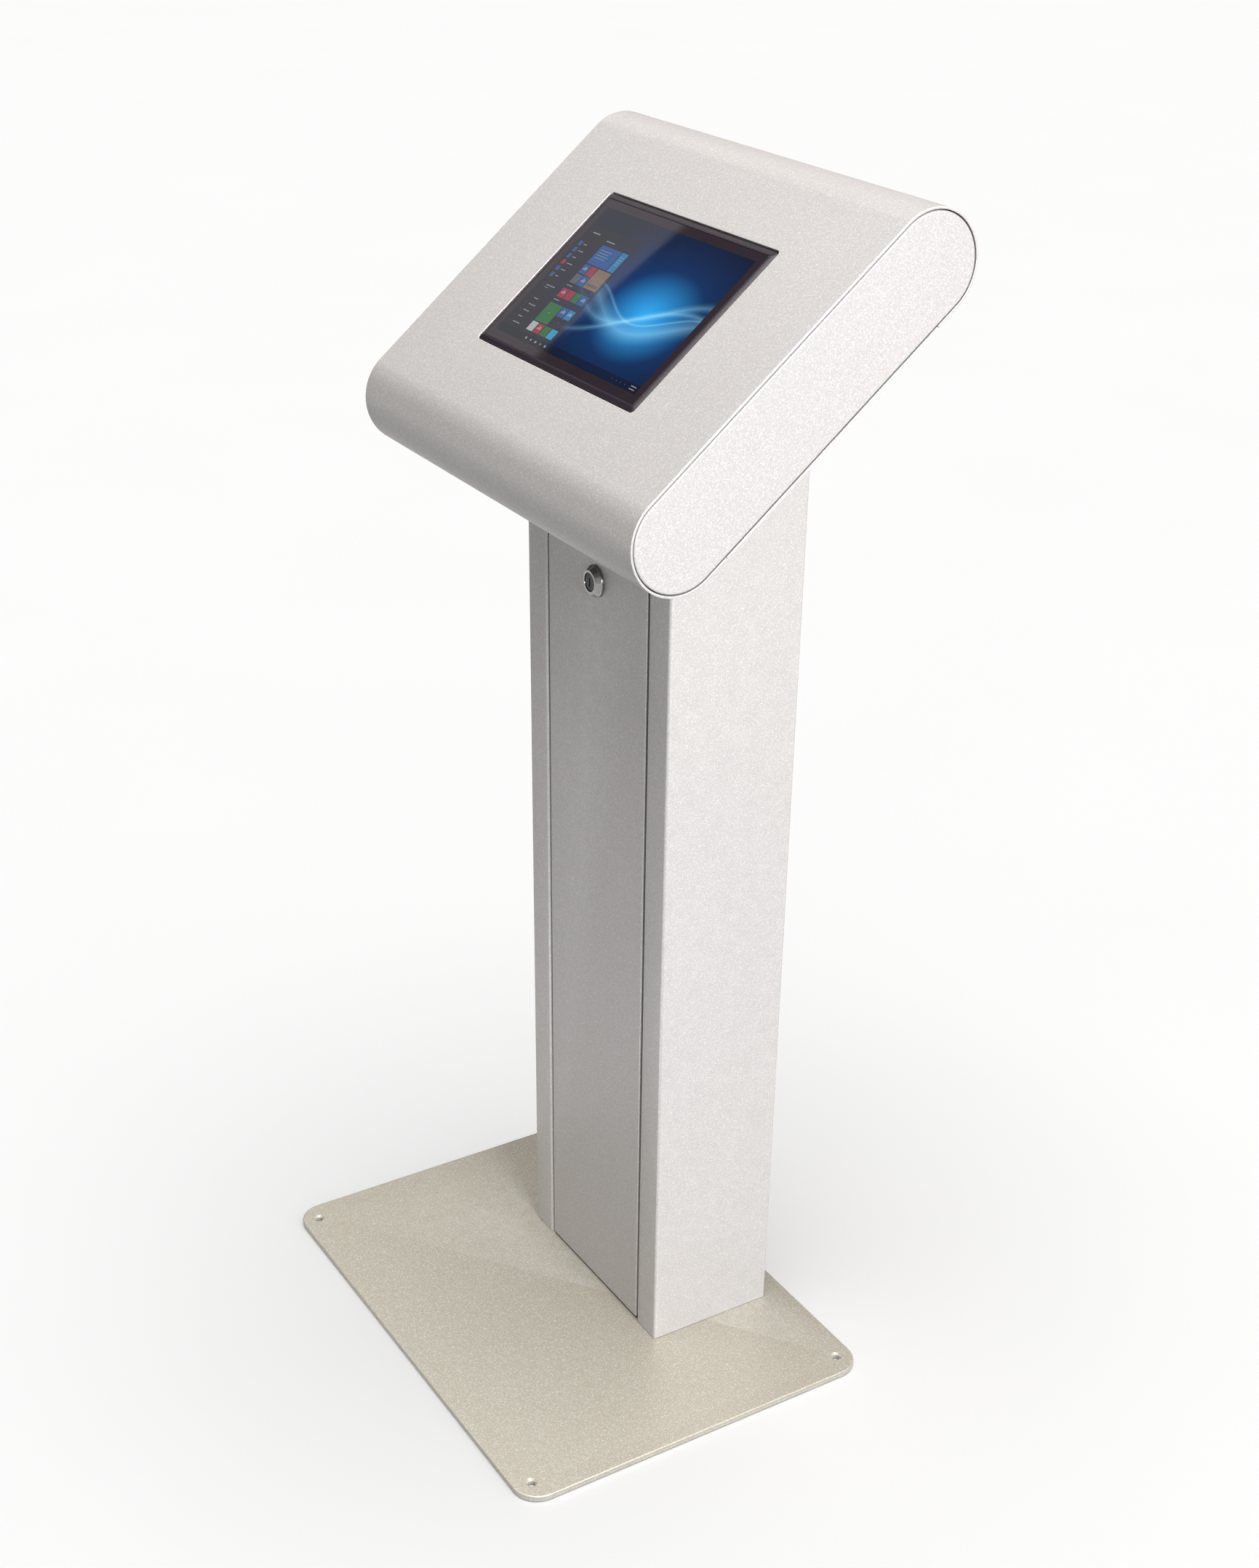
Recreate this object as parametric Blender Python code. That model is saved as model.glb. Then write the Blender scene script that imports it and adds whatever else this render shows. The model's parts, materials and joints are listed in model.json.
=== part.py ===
"""Touchscreen kiosk: a floor plate, a sheet-metal column with a drop-down service door,
and a sloping rolled head that holds a panel computer.

Metres, +Z up. The user stands at -Y and +X is the user's right. The origin is the centre
of the floor plate, on the floor. The head is drawn in its own sloping frame: x across,
u up the slope (its Y) and n out of the screen (its Z).
"""

import math

import bmesh
import bpy
from mathutils import Matrix, Vector

# ---------------------------------------------------------------- driving dimensions
FIT = 0.0003  # gap between faces that touch on the real thing
PAST = 0.001  # how far a cutting guide runs past the face it opens

PLATE_WIDTH = 0.500
PLATE_DEPTH = 0.370
PLATE_THICK = 0.006
PLATE_CORNER = 0.025
PLATE_EDGE = 0.0008
ANCHOR_INSET_X = 0.022
ANCHOR_INSET_Y = 0.017
ANCHOR_HOLE_R = 0.0035
ANCHOR_SINK_R = 0.0053
ANCHOR_SINK_DEPTH = 0.0018

FOOT_SHEET = 0.003
FOOT_BEND = 0.003
FOOT_SIDE_GAP = 0.0005
FOOT_TOP = 0.036
FOOT_FRONT = 0.064
FOOT_BACK = 0.150
FOOT_BOLT_X = 0.090
FOOT_BOLT_Y = (0.078, 0.136)
FOOT_HOLE_R = 0.0043
FOOT_BOLT_R = 0.004
FOOT_BOLT_END = 0.0008
FOOT_WASHER_R = 0.0085
FOOT_WASHER_THICK = 0.0016
FOOT_HEAD_R = 0.0074
FOOT_HEAD_TOP = 0.0068

COLUMN_WIDTH = 0.234
COLUMN_FRONT = 0.030
COLUMN_BACK = 0.160
COLUMN_SHEET = 0.002
COLUMN_BEND = 0.002
COLUMN_FOOT_Z = PLATE_THICK + FIT
FLANGE_WIDTH = 0.033
LIP_DEPTH = 0.020
OPENING_HALF = COLUMN_WIDTH / 2 - FLANGE_WIDTH
VENT_ROWS = 5
VENT_PITCH = 0.012
VENT_HEIGHT = 0.0045
VENT_HALF_X = 0.045
VENT_BOTTOM = 0.800
TOP_PLATE_THICK = 0.004
TOP_PLATE_FRONT = 0.0525

DOOR_GAP = 0.0030
DOOR_HALF = OPENING_HALF - DOOR_GAP
DOOR_FRONT = COLUMN_FRONT + 0.0005
DOOR_SHEET = 0.0015
DOOR_DEPTH = 0.0280
DOOR_RIM = 0.0012
DOOR_BOTTOM = 0.0085
DOOR_TOP = 0.800
DOOR_PIVOT_Y = 0.0364
DOOR_PIVOT_Z = 0.014
PIVOT_SCREW_R = 0.0025
PIVOT_HOLE_R = 0.0028
PIVOT_HEAD_R = 0.0038
PIVOT_HEAD_HIGH = 0.0030
STIFFENER_SHEET = 0.0012
STIFFENER_HALF = 0.020
STIFFENER_FLANGE = 0.012
STIFFENER_DEPTH = 0.0170
STIFFENER_BOTTOM = 0.060
STIFFENER_TOP = 0.690

LOCK_Z = 0.739
LOCK_BARREL_R = 0.0095
LOCK_BORE_R = 0.0070
LOCK_BEZEL_R = 0.0138
LOCK_NOSE_R = 0.0098
LOCK_PROUD = 0.0067
LOCK_NUT_THICK = 0.0040
CAM_STUD_R = 0.0030
CAM_SCREW_R = 0.0015
CAM_REACH = 0.040
CAM_WIDTH = 0.014
CAM_THICK = 0.0025

HEADER_BOTTOM = 0.803
HEADER_SHEET = 0.002
HEADER_BEND = 0.002
HEADER_LEG_Y = 0.063
HEADER_LEG_BOTTOM = 0.762
BUFFER_X = 0.050
BUFFER_Z = 0.796
BUFFER_R = 0.005
BUFFER_THICK = 0.0032

HEAD_TILT = math.radians(39.0)
HEAD_Y = 0.078
HEAD_Z = 0.935
HEAD_HALF_WIDTH = 0.219
HEAD_ROLL_R = 0.0415
HEAD_ROLL_U = 0.1375
HEAD_SHEET = 0.002
HEAD_RETURN_U = 0.1168
HEAD_IN = HEAD_ROLL_R - HEAD_SHEET  # inner face of the head's sheet, from its middle plane

SCREEN_HALF_X = 0.1215
SCREEN_HALF_U = 0.08125
SCREEN_CORNER = 0.003
CUTOUT_GAP = 0.00075
BEZEL_PROUD = 0.0007
BEZEL_RIM = 0.004
BEZEL_DROP = 0.0012
BEZEL_FRAME = 0.005

PC_HALF_X = 0.111
PC_HALF_U = 0.071
PC_BACK_N = 0.005
PC_FRONT_N = 0.0345
PC_WALL = 0.0015
BUTTON_X = 0.085
BUTTON_U = -0.058
BUTTON_R = 0.0040
DC_PLUG_X = -0.060
DC_PLUG_U = 0.020
DC_PLUG_END = 0.0085
DC_CABLE_R = 0.0025

STRIP_HALF_X = 0.200
STRIP_INNER_U = 0.103
STRIP_OUTER_U = 0.131
STRIP_THICK = 0.003
MOUNT_HALF_X = 0.110
MOUNT_HALF_U = 0.085
MOUNT_THICK = 0.004
CABLE_HOLE_R = 0.020
HEAD_BOLT_X = 0.085
HEAD_BOLT_U = 0.045
HEAD_BOLT_R = 0.003
HEAD_BOLT_HOLE_R = 0.0033
PANEL_SCREW_X = 0.150
PANEL_SCREW_U = 0.110
CAP_SCREW_X = 0.2105
CAP_SCREW_U = 0.060
SMALL_SCREW_R = 0.0019
SMALL_SCREW_HEAD_R = 0.0039
SMALL_HOLE_R = 0.0023
SMALL_SINK_R = 0.0044
SLOT_COUNT = 5
SLOT_X = 0.140
SLOT_PITCH = 0.012
SLOT_HALF_X = 0.0022
SLOT_HALF_U = 0.040

INLET_X = 0.060
INLET_Z = 0.070
INLET_HALF_X = 0.030
INLET_HALF_Z = 0.0175
INLET_BODY_HALF_X = 0.0235
INLET_BODY_HALF_Z = 0.0135
INLET_BODY_FRONT = 0.130
INLET_BODY_PLAY = 0.0005
MAINS_LEAD_R = 0.0035
ROCKER_X = 0.074
ROCKER_Y = 0.160
ROCKER_TILT = math.radians(8.0)

PSU_X = -0.045
PSU_Y = 0.139
PSU_HALF_X = 0.033
PSU_HALF_Y = 0.018
PSU_BOTTOM = 0.180
PSU_TOP = 0.330
STRAP_SHEET = 0.0015
STRAP_BEND = 0.0018
STRAP_PLAY = 0.0005
STRAP_FOOT = 0.016
STRAP_BOTTOM = 0.235
STRAP_TOP = 0.275

DC_CABLE_Y = 0.1495
CLIP_R = 0.0050
CLIP_BORE_R = 0.0031
CLIP_HEIGHTS = (("cable_clip_lower", 0.480), ("cable_clip_upper", 0.680))
CLIP_HALF_Z = 0.006

ROUND = 24  # sides of a small round piece
SCREW_ROUND = 16  # sides of a screw and its hole


# ---------------------------------------------------------------- scene and materials
def clear_scene():
    for old in list(bpy.data.objects):
        bpy.data.objects.remove(old, do_unlink=True)


def material(name, colour, roughness, metallic=0.0):
    made = bpy.data.materials.new(name)
    made.use_nodes = True
    shader = made.node_tree.nodes["Principled BSDF"]
    shader.inputs["Base Color"].default_value = (*colour, 1.0)
    shader.inputs["Roughness"].default_value = roughness
    shader.inputs["Metallic"].default_value = metallic
    return made


def make_materials():
    return {
        "powder_coat": material("powder_coat", (0.66, 0.65, 0.63), 0.42, 0.35),
        "plate_coat": material("plate_coat", (0.50, 0.48, 0.43), 0.45, 0.35),
        "zinc": material("zinc", (0.62, 0.63, 0.64), 0.35, 0.9),
        "chrome": material("chrome", (0.80, 0.80, 0.80), 0.08, 1.0),
        "black_metal": material("black_metal", (0.03, 0.03, 0.035), 0.45, 0.3),
        "black_plastic": material("black_plastic", (0.02, 0.02, 0.02), 0.5),
        "bezel": material("bezel", (0.045, 0.040, 0.048), 0.35),
        "glass": material("glass", (0.02, 0.02, 0.025), 0.05),
        "display": material("display", (0.02, 0.10, 0.30), 0.25),
        "rubber": material("rubber", (0.015, 0.015, 0.015), 0.8),
        "circuit": material("circuit", (0.02, 0.16, 0.07), 0.5),
    }


# ---------------------------------------------------------------- mesh tools
def add_object(name, build, finish, parent=None, smooth=False):
    """One mesh object from a bmesh, with outward faces, its own material and a parent."""
    bmesh.ops.recalc_face_normals(build, faces=build.faces[:])
    mesh = bpy.data.meshes.new(name)
    build.to_mesh(mesh)
    build.free()
    made = bpy.data.objects.new(name, mesh)
    bpy.context.scene.collection.objects.link(made)
    own = finish.copy()
    own.name = name + "_finish"
    mesh.materials.append(own)
    if parent is not None:
        made.parent = parent
    if smooth:
        mesh.shade_smooth()
        mesh.set_sharp_from_angle(angle=math.radians(35.0))
    return made


def add_empty(name, place, rotation=(0.0, 0.0, 0.0)):
    made = bpy.data.objects.new(name, None)
    made.location = place
    made.rotation_euler = rotation
    bpy.context.scene.collection.objects.link(made)
    return made


def add_box(build, low, high):
    size = [b - a for a, b in zip(low, high)]
    middle = [(a + b) / 2 for a, b in zip(low, high)]
    place = Matrix.Translation(middle) @ Matrix.Diagonal((*size, 1.0))
    return bmesh.ops.create_cube(build, size=1.0, matrix=place)["verts"]


def box(low, high):
    build = bmesh.new()
    add_box(build, low, high)
    return build


def place_point(axis, a, b, height):
    """A section's (a, b) at a height along its extrusion axis."""
    if axis == "x":
        return (height, a, b)
    if axis == "y":
        return (a, height, b)
    return (a, b, height)


def add_prism(build, outline, axis, low, high):
    """A closed outline pushed from low to high along x, y or z."""
    first = [build.verts.new(place_point(axis, a, b, low)) for a, b in outline]
    last = [build.verts.new(place_point(axis, a, b, high)) for a, b in outline]
    build.faces.new(first)
    build.faces.new(last[::-1])
    count = len(outline)
    for i in range(count):
        j = (i + 1) % count
        build.faces.new((first[i], first[j], last[j], last[i]))
    return first, last


def prism(outline, axis, low, high):
    build = bmesh.new()
    add_prism(build, outline, axis, low, high)
    bmesh.ops.recalc_face_normals(build, faces=build.faces[:])
    return build


def arc(centre, radius, start, end, steps):
    """Points of an arc, angles in degrees."""
    points = []
    for i in range(steps + 1):
        angle = math.radians(start + (end - start) * i / steps)
        points.append((centre[0] + radius * math.cos(angle), centre[1] + radius * math.sin(angle)))
    return points


def rounded_rectangle(half_a, half_b, radius, steps=6):
    points = []
    for turn, (side_a, side_b) in enumerate(((1, 1), (-1, 1), (-1, -1), (1, -1))):
        centre = (side_a * (half_a - radius), side_b * (half_b - radius))
        points += arc(centre, radius, 90 * turn, 90 * turn + 90, steps)
    return points


def stadium(half_length, radius, steps):
    """Two half circles joined by straight sides along the first axis."""
    back = arc((half_length, 0.0), radius, -90, 90, steps)
    front = arc((-half_length, 0.0), radius, 90, 270, steps)
    return back + front


def rounded_path(points, radius, steps=4):
    """A polyline with each inner corner turned into an arc, with the normal at each point."""
    path = []
    count = len(points)
    for i, point in enumerate(points):
        here = Vector(point)
        if i in (0, count - 1):
            along = Vector(points[1]) - here if i == 0 else here - Vector(points[-2])
            along.normalize()
            path.append((here, Vector((-along.y, along.x))))
            continue
        before = (here - Vector(points[i - 1])).normalized()
        after = (Vector(points[i + 1]) - here).normalized()
        turn = before.cross(after)
        side = 1.0 if turn > 0 else -1.0
        bend = math.acos(max(-1.0, min(1.0, before.dot(after))))
        setback = radius * math.tan(bend / 2)
        normal = Vector((-before.y, before.x)) * side
        centre = here - before * setback + normal * radius
        for k in range(steps + 1):
            spoke = -normal
            spoke.rotate(Matrix.Rotation(side * bend * k / steps, 2))
            path.append((centre + spoke * radius, -spoke * side))
    return path


def sheet_section(points, thick, radius, steps=4):
    """The closed outline of a folded sheet whose middle follows the points."""
    path = rounded_path(points, radius, steps)
    left = [tuple(here + normal * thick / 2) for here, normal in path]
    right = [tuple(here - normal * thick / 2) for here, normal in path]
    return left + right[::-1]


def add_turned(build, profile, axis, centre, sides=ROUND):
    """A profile of (radius, height) turned about an axis; radius 0 makes a point on it."""
    rings = []
    for radius, height in profile:
        if radius < 1e-7:
            rings.append([build.verts.new(place_point(axis, centre[0], centre[1], height))])
            continue
        ring = []
        for i in range(sides):
            angle = 2 * math.pi * (i + 0.5) / sides
            a = centre[0] + radius * math.cos(angle)
            b = centre[1] + radius * math.sin(angle)
            ring.append(build.verts.new(place_point(axis, a, b, height)))
        rings.append(ring)
    closed = len(rings[0]) > 1 and len(rings[-1]) > 1
    pairs = list(zip(rings, rings[1:]))
    if closed:
        pairs.append((rings[-1], rings[0]))
    for one, two in pairs:
        for i in range(sides):
            j = (i + 1) % sides
            if len(one) == 1:
                build.faces.new((one[0], two[i], two[j]))
            elif len(two) == 1:
                build.faces.new((one[i], one[j], two[0]))
            else:
                build.faces.new((one[i], one[j], two[j], two[i]))


def turned(profile, axis, centre, sides=ROUND):
    build = bmesh.new()
    add_turned(build, profile, axis, centre, sides)
    return build


def rod_profile(radius, low, high):
    return [(0.0, low), (radius, low), (radius, high), (0.0, high)]


def combine(target, build, operation="DIFFERENCE"):
    """Cuts a guide solid from the target, or joins it on, with an exact Boolean."""
    bmesh.ops.recalc_face_normals(build, faces=build.faces[:])
    count = len(target.modifiers)
    name = f"{target.name}_guide_{count}"
    mesh = bpy.data.meshes.new(name)
    build.to_mesh(mesh)
    build.free()
    guide = bpy.data.objects.new(name, mesh)
    guide.hide_render = True
    guide.display_type = "WIRE"
    guide.parent = target.parent
    bpy.context.scene.collection.objects.link(guide)
    step = target.modifiers.new(f"step_{count}", "BOOLEAN")
    step.operation = operation
    step.solver = "EXACT"
    step.object = guide


def tray(low, high, wall, floor, axis, open_high):
    """A box with walls, a floor and one open side: at its high end along the axis, or its low."""
    index = "xyz".index(axis)
    build = box(low, high)
    normal = Vector((0.0, 0.0, 0.0))
    normal[index] = 1.0 if open_high else -1.0
    build.normal_update()
    lid = [face for face in build.faces if face.normal.dot(normal) > 0.9]
    bmesh.ops.inset_region(build, faces=lid, thickness=wall, use_even_offset=True)
    depth = high[index] - low[index] - floor
    grown = bmesh.ops.extrude_face_region(build, geom=lid)
    moved = [item for item in grown["geom"] if isinstance(item, bmesh.types.BMVert)]
    bmesh.ops.translate(build, vec=-normal * depth, verts=moved)
    bmesh.ops.delete(build, geom=lid, context="FACES")
    return build


def smooth_route(points, spacing):
    """Points about every spacing along a smooth curve through the given ones."""
    spots = [Vector(p) for p in points]
    spots = [spots[0] * 2 - spots[1]] + spots + [spots[-1] * 2 - spots[-2]]
    route = []
    for p0, p1, p2, p3 in zip(spots, spots[1:], spots[2:], spots[3:]):
        steps = max(2, round((p2 - p1).length / spacing))
        for k in range(steps):
            t = k / steps
            bent = (p2 - p0) * t + (p0 * 2 - p1 * 5 + p2 * 4 - p3) * t * t
            bent += (p1 * 3 - p0 - p2 * 3 + p3) * t * t * t
            route.append(p1 + bent / 2)
    route.append(spots[-2])
    return route


def add_cable(name, points, radius, finish):
    """A round cable along a smooth route, closed at both ends."""
    curve = bpy.data.curves.new(name, "CURVE")
    curve.dimensions = "3D"
    curve.bevel_depth = radius
    curve.bevel_resolution = 2
    curve.use_fill_caps = True
    route = smooth_route(points, radius * 5)
    spline = curve.splines.new("POLY")
    spline.points.add(len(route) - 1)
    for spot, place in zip(spline.points, route):
        spot.co = (*place, 1.0)
    own = finish.copy()
    own.name = name + "_finish"
    curve.materials.append(own)
    made = bpy.data.objects.new(name, curve)
    bpy.context.scene.collection.objects.link(made)
    return made


def head_point(x, u, n):
    """A point of the head's sloping frame, in the world."""
    y = HEAD_Y + u * math.cos(HEAD_TILT) - n * math.sin(HEAD_TILT)
    z = HEAD_Z + u * math.sin(HEAD_TILT) + n * math.cos(HEAD_TILT)
    return (x, y, z)


def slope_height(y, n):
    """The height, at a given y, of the plane that lies n above the head's middle plane."""
    u = (y - HEAD_Y + n * math.sin(HEAD_TILT)) / math.cos(HEAD_TILT)
    return HEAD_Z + u * math.sin(HEAD_TILT) + n * math.cos(HEAD_TILT)


# ---------------------------------------------------------------- floor plate
def foot_bolt_places():
    return [(x, y) for x in (-FOOT_BOLT_X, FOOT_BOLT_X) for y in FOOT_BOLT_Y]


def make_base_plate(finish):
    outline = rounded_rectangle(PLATE_WIDTH / 2, PLATE_DEPTH / 2, PLATE_CORNER)
    build = prism(outline, "z", 0.0, PLATE_THICK)
    top_edges = [
        edge for edge in build.edges if all(vert.co.z > PLATE_THICK / 2 for vert in edge.verts)
    ]
    bmesh.ops.bevel(
        build, geom=top_edges, offset=PLATE_EDGE, segments=2, profile=0.5, affect="EDGES"
    )
    plate = add_object("base_plate", build, finish["plate_coat"])
    anchors = bmesh.new()
    sink = [
        (0.0, -PAST),
        (ANCHOR_HOLE_R, -PAST),
        (ANCHOR_HOLE_R, PLATE_THICK - ANCHOR_SINK_DEPTH),
        (ANCHOR_SINK_R, PLATE_THICK),
        (ANCHOR_SINK_R, PLATE_THICK + PAST),
        (0.0, PLATE_THICK + PAST),
    ]
    for side_x in (-1, 1):
        for side_y in (-1, 1):
            x = side_x * (PLATE_WIDTH / 2 - ANCHOR_INSET_X)
            y = side_y * (PLATE_DEPTH / 2 - ANCHOR_INSET_Y)
            add_turned(anchors, sink, "z", (x, y))
    for x, y in foot_bolt_places():
        add_turned(anchors, rod_profile(FOOT_HOLE_R, -PAST, PLATE_THICK + PAST), "z", (x, y))
    combine(plate, anchors)


def make_column_foot(finish):
    """A folded tray that stands in the column and is bolted to the plate."""
    side = COLUMN_WIDTH / 2 - COLUMN_SHEET - FOOT_SHEET / 2 - FOOT_SIDE_GAP
    base = COLUMN_FOOT_Z + FOOT_SHEET / 2
    middle = [(-side, FOOT_TOP), (-side, base), (side, base), (side, FOOT_TOP)]
    section = sheet_section(middle, FOOT_SHEET, FOOT_BEND)
    foot = add_object("column_foot", prism(section, "y", FOOT_FRONT, FOOT_BACK), finish["zinc"])
    seat = COLUMN_FOOT_Z + FOOT_SHEET + FIT
    holes = bmesh.new()
    for place in foot_bolt_places():
        add_turned(holes, rod_profile(FOOT_HOLE_R, COLUMN_FOOT_Z - PAST, seat + PAST), "z", place)
    combine(foot, holes)
    washer_top = seat + FOOT_WASHER_THICK
    profile = [
        (0.0, FOOT_BOLT_END), (FOOT_BOLT_R, FOOT_BOLT_END), (FOOT_BOLT_R, seat),
        (FOOT_WASHER_R, seat), (FOOT_WASHER_R, washer_top), (0.0, washer_top),
    ]
    for number, place in enumerate(foot_bolt_places(), start=1):
        build = turned(profile, "z", place)
        bolt = add_object(f"foot_bolt_{number}", build, finish["zinc"], smooth=True)
        hexagon = rod_profile(FOOT_HEAD_R, seat + PAST, seat + FOOT_HEAD_TOP)
        combine(bolt, turned(hexagon, "z", place, sides=6), "UNION")


# ---------------------------------------------------------------- column
def make_column_shell(finish):
    half = COLUMN_WIDTH / 2 - COLUMN_SHEET / 2
    lip = OPENING_HALF + COLUMN_SHEET / 2
    front = COLUMN_FRONT + COLUMN_SHEET / 2
    back = COLUMN_BACK - COLUMN_SHEET / 2
    lip_end = COLUMN_FRONT + LIP_DEPTH
    middle = [
        (lip, lip_end), (lip, front), (half, front), (half, back),
        (-half, back), (-half, front), (-lip, front), (-lip, lip_end),
    ]
    section = sheet_section(middle, COLUMN_SHEET, COLUMN_BEND)
    build = bmesh.new()
    _, top = add_prism(build, section, "z", COLUMN_FOOT_Z, HEAD_Z)
    for vert in top:
        vert.co.z = slope_height(vert.co.y, -HEAD_ROLL_R - FIT)
    shell = add_object("column_shell", build, finish["powder_coat"])
    cuts = bmesh.new()
    inner = OPENING_HALF - 0.014
    outer = COLUMN_WIDTH / 2 - 0.006
    for low, high in ((-outer, -inner), (inner, outer)):
        add_turned(cuts, rod_profile(PIVOT_HOLE_R, low, high), "x", (DOOR_PIVOT_Y, DOOR_PIVOT_Z))
    before, behind = COLUMN_BACK - 0.010, COLUMN_BACK + 0.010
    half_x = INLET_BODY_HALF_X + INLET_BODY_PLAY
    half_z = INLET_BODY_HALF_Z + INLET_BODY_PLAY
    add_box(
        cuts, (INLET_X - half_x, before, INLET_Z - half_z), (INLET_X + half_x, behind, INLET_Z + half_z)
    )
    for row in range(VENT_ROWS):
        z = VENT_BOTTOM + VENT_PITCH * row
        add_box(cuts, (-VENT_HALF_X, before, z), (VENT_HALF_X, behind, z + VENT_HEIGHT))
    combine(shell, cuts)


def make_column_header(finish):
    """The fixed strip above the door; its rear leg is the door's stop and the lock's keeper."""
    front = DOOR_FRONT + HEADER_SHEET / 2
    step = HEADER_BOTTOM + HEADER_SHEET / 2
    top = slope_height(DOOR_FRONT, -HEAD_ROLL_R - FIT) - 0.001  # clear of the sloping underside
    middle = [(front, top), (front, step), (HEADER_LEG_Y, step), (HEADER_LEG_Y, HEADER_LEG_BOTTOM)]
    section = sheet_section(middle, HEADER_SHEET, HEADER_BEND)
    half = OPENING_HALF - FIT
    add_object("column_header", prism(section, "x", -half, half), finish["powder_coat"])
    face = HEADER_LEG_Y - HEADER_SHEET / 2
    rim = 0.0008
    dome = [
        (0.0, face - BUFFER_THICK), (BUFFER_R - rim, face - BUFFER_THICK),
        (BUFFER_R, face - BUFFER_THICK + rim), (BUFFER_R, face - FIT), (0.0, face - FIT),
    ]
    for side, x in (("left", -BUFFER_X), ("right", BUFFER_X)):
        build = turned(dome, "y", (x, BUFFER_Z))
        add_object(f"door_buffer_{side}", build, finish["rubber"], smooth=True)


def make_column_top_plate(finish):
    """The sloping plate across the column's top, which the head is bolted to."""
    high = -HEAD_ROLL_R - 2 * FIT
    low = high - TOP_PLATE_THICK
    front = TOP_PLATE_FRONT
    back = COLUMN_BACK - COLUMN_SHEET - FIT
    section = [
        (front, slope_height(front, low)), (back, slope_height(back, low)),
        (back, slope_height(back, high)), (front, slope_height(front, high)),
    ]
    half = COLUMN_WIDTH / 2 - COLUMN_SHEET - FIT
    return add_object("column_top_plate", prism(section, "x", -half, half), finish["zinc"])


# ---------------------------------------------------------------- service door
def make_door(finish, pivot):
    low = (-DOOR_HALF, DOOR_FRONT, DOOR_BOTTOM)
    high = (DOOR_HALF, DOOR_FRONT + DOOR_DEPTH, DOOR_TOP)
    build = tray(low, high, DOOR_SHEET, DOOR_SHEET, "y", True)
    skin = DOOR_FRONT + 1e-5
    rim = [edge for edge in build.edges if all(vert.co.y < skin for vert in edge.verts)]
    bmesh.ops.bevel(build, geom=rim, offset=DOOR_RIM, segments=3, profile=0.5, affect="EDGES")
    door = add_moving("door_panel", build, finish["powder_coat"], pivot)
    cuts = bmesh.new()
    hole = rod_profile(LOCK_BARREL_R + FIT, DOOR_FRONT - 0.007, DOOR_FRONT + 0.008)
    add_turned(cuts, hole, "y", (0.0, LOCK_Z))
    spot = (DOOR_PIVOT_Y, DOOR_PIVOT_Z)
    for side in (-1, 1):
        ends = sorted((side * (DOOR_HALF - 0.004), side * (DOOR_HALF + 0.004)))
        add_turned(cuts, rod_profile(PIVOT_HOLE_R, *ends), "x", spot)
    shift(cuts, pivot)
    combine(door, cuts)

    face = DOOR_FRONT + DOOR_SHEET + 0.0011  # middle of the stiffener's flanges
    deep = face + STIFFENER_DEPTH
    edge = STIFFENER_HALF + STIFFENER_FLANGE
    middle = [
        (-edge, face), (-STIFFENER_HALF, face), (-STIFFENER_HALF, deep),
        (STIFFENER_HALF, deep), (STIFFENER_HALF, face), (edge, face),
    ]
    section = sheet_section(middle, STIFFENER_SHEET, 0.002, steps=3)
    build = prism(section, "z", STIFFENER_BOTTOM, STIFFENER_TOP)
    add_moving("door_stiffener", build, finish["zinc"], pivot)

    for name, side in (("door_pivot_screw_left", -1), ("door_pivot_screw_right", 1)):
        inner = side * (DOOR_HALF - 0.0035)
        lip = side * (OPENING_HALF + COLUMN_SHEET + 0.0004)
        outer = lip + side * PIVOT_HEAD_HIGH
        profile = [
            (0.0, inner), (PIVOT_SCREW_R, inner), (PIVOT_SCREW_R, lip), (PIVOT_HEAD_R, lip),
            (PIVOT_HEAD_R, outer - side * 0.0008), (PIVOT_HEAD_R - 0.0008, outer), (0.0, outer),
        ]
        add_moving(name, turned(profile, "x", spot), finish["zinc"], pivot, smooth=True)


def shift(build, origin):
    """Moves a shape drawn in world places into the frame of an empty that isn't turned."""
    bmesh.ops.translate(build, vec=-origin.location, verts=build.verts[:])


def add_moving(name, build, finish, origin, smooth=False):
    """A piece drawn in world places that hangs on an empty at its joint."""
    shift(build, origin)
    return add_object(name, build, finish, parent=origin, smooth=smooth)


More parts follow.
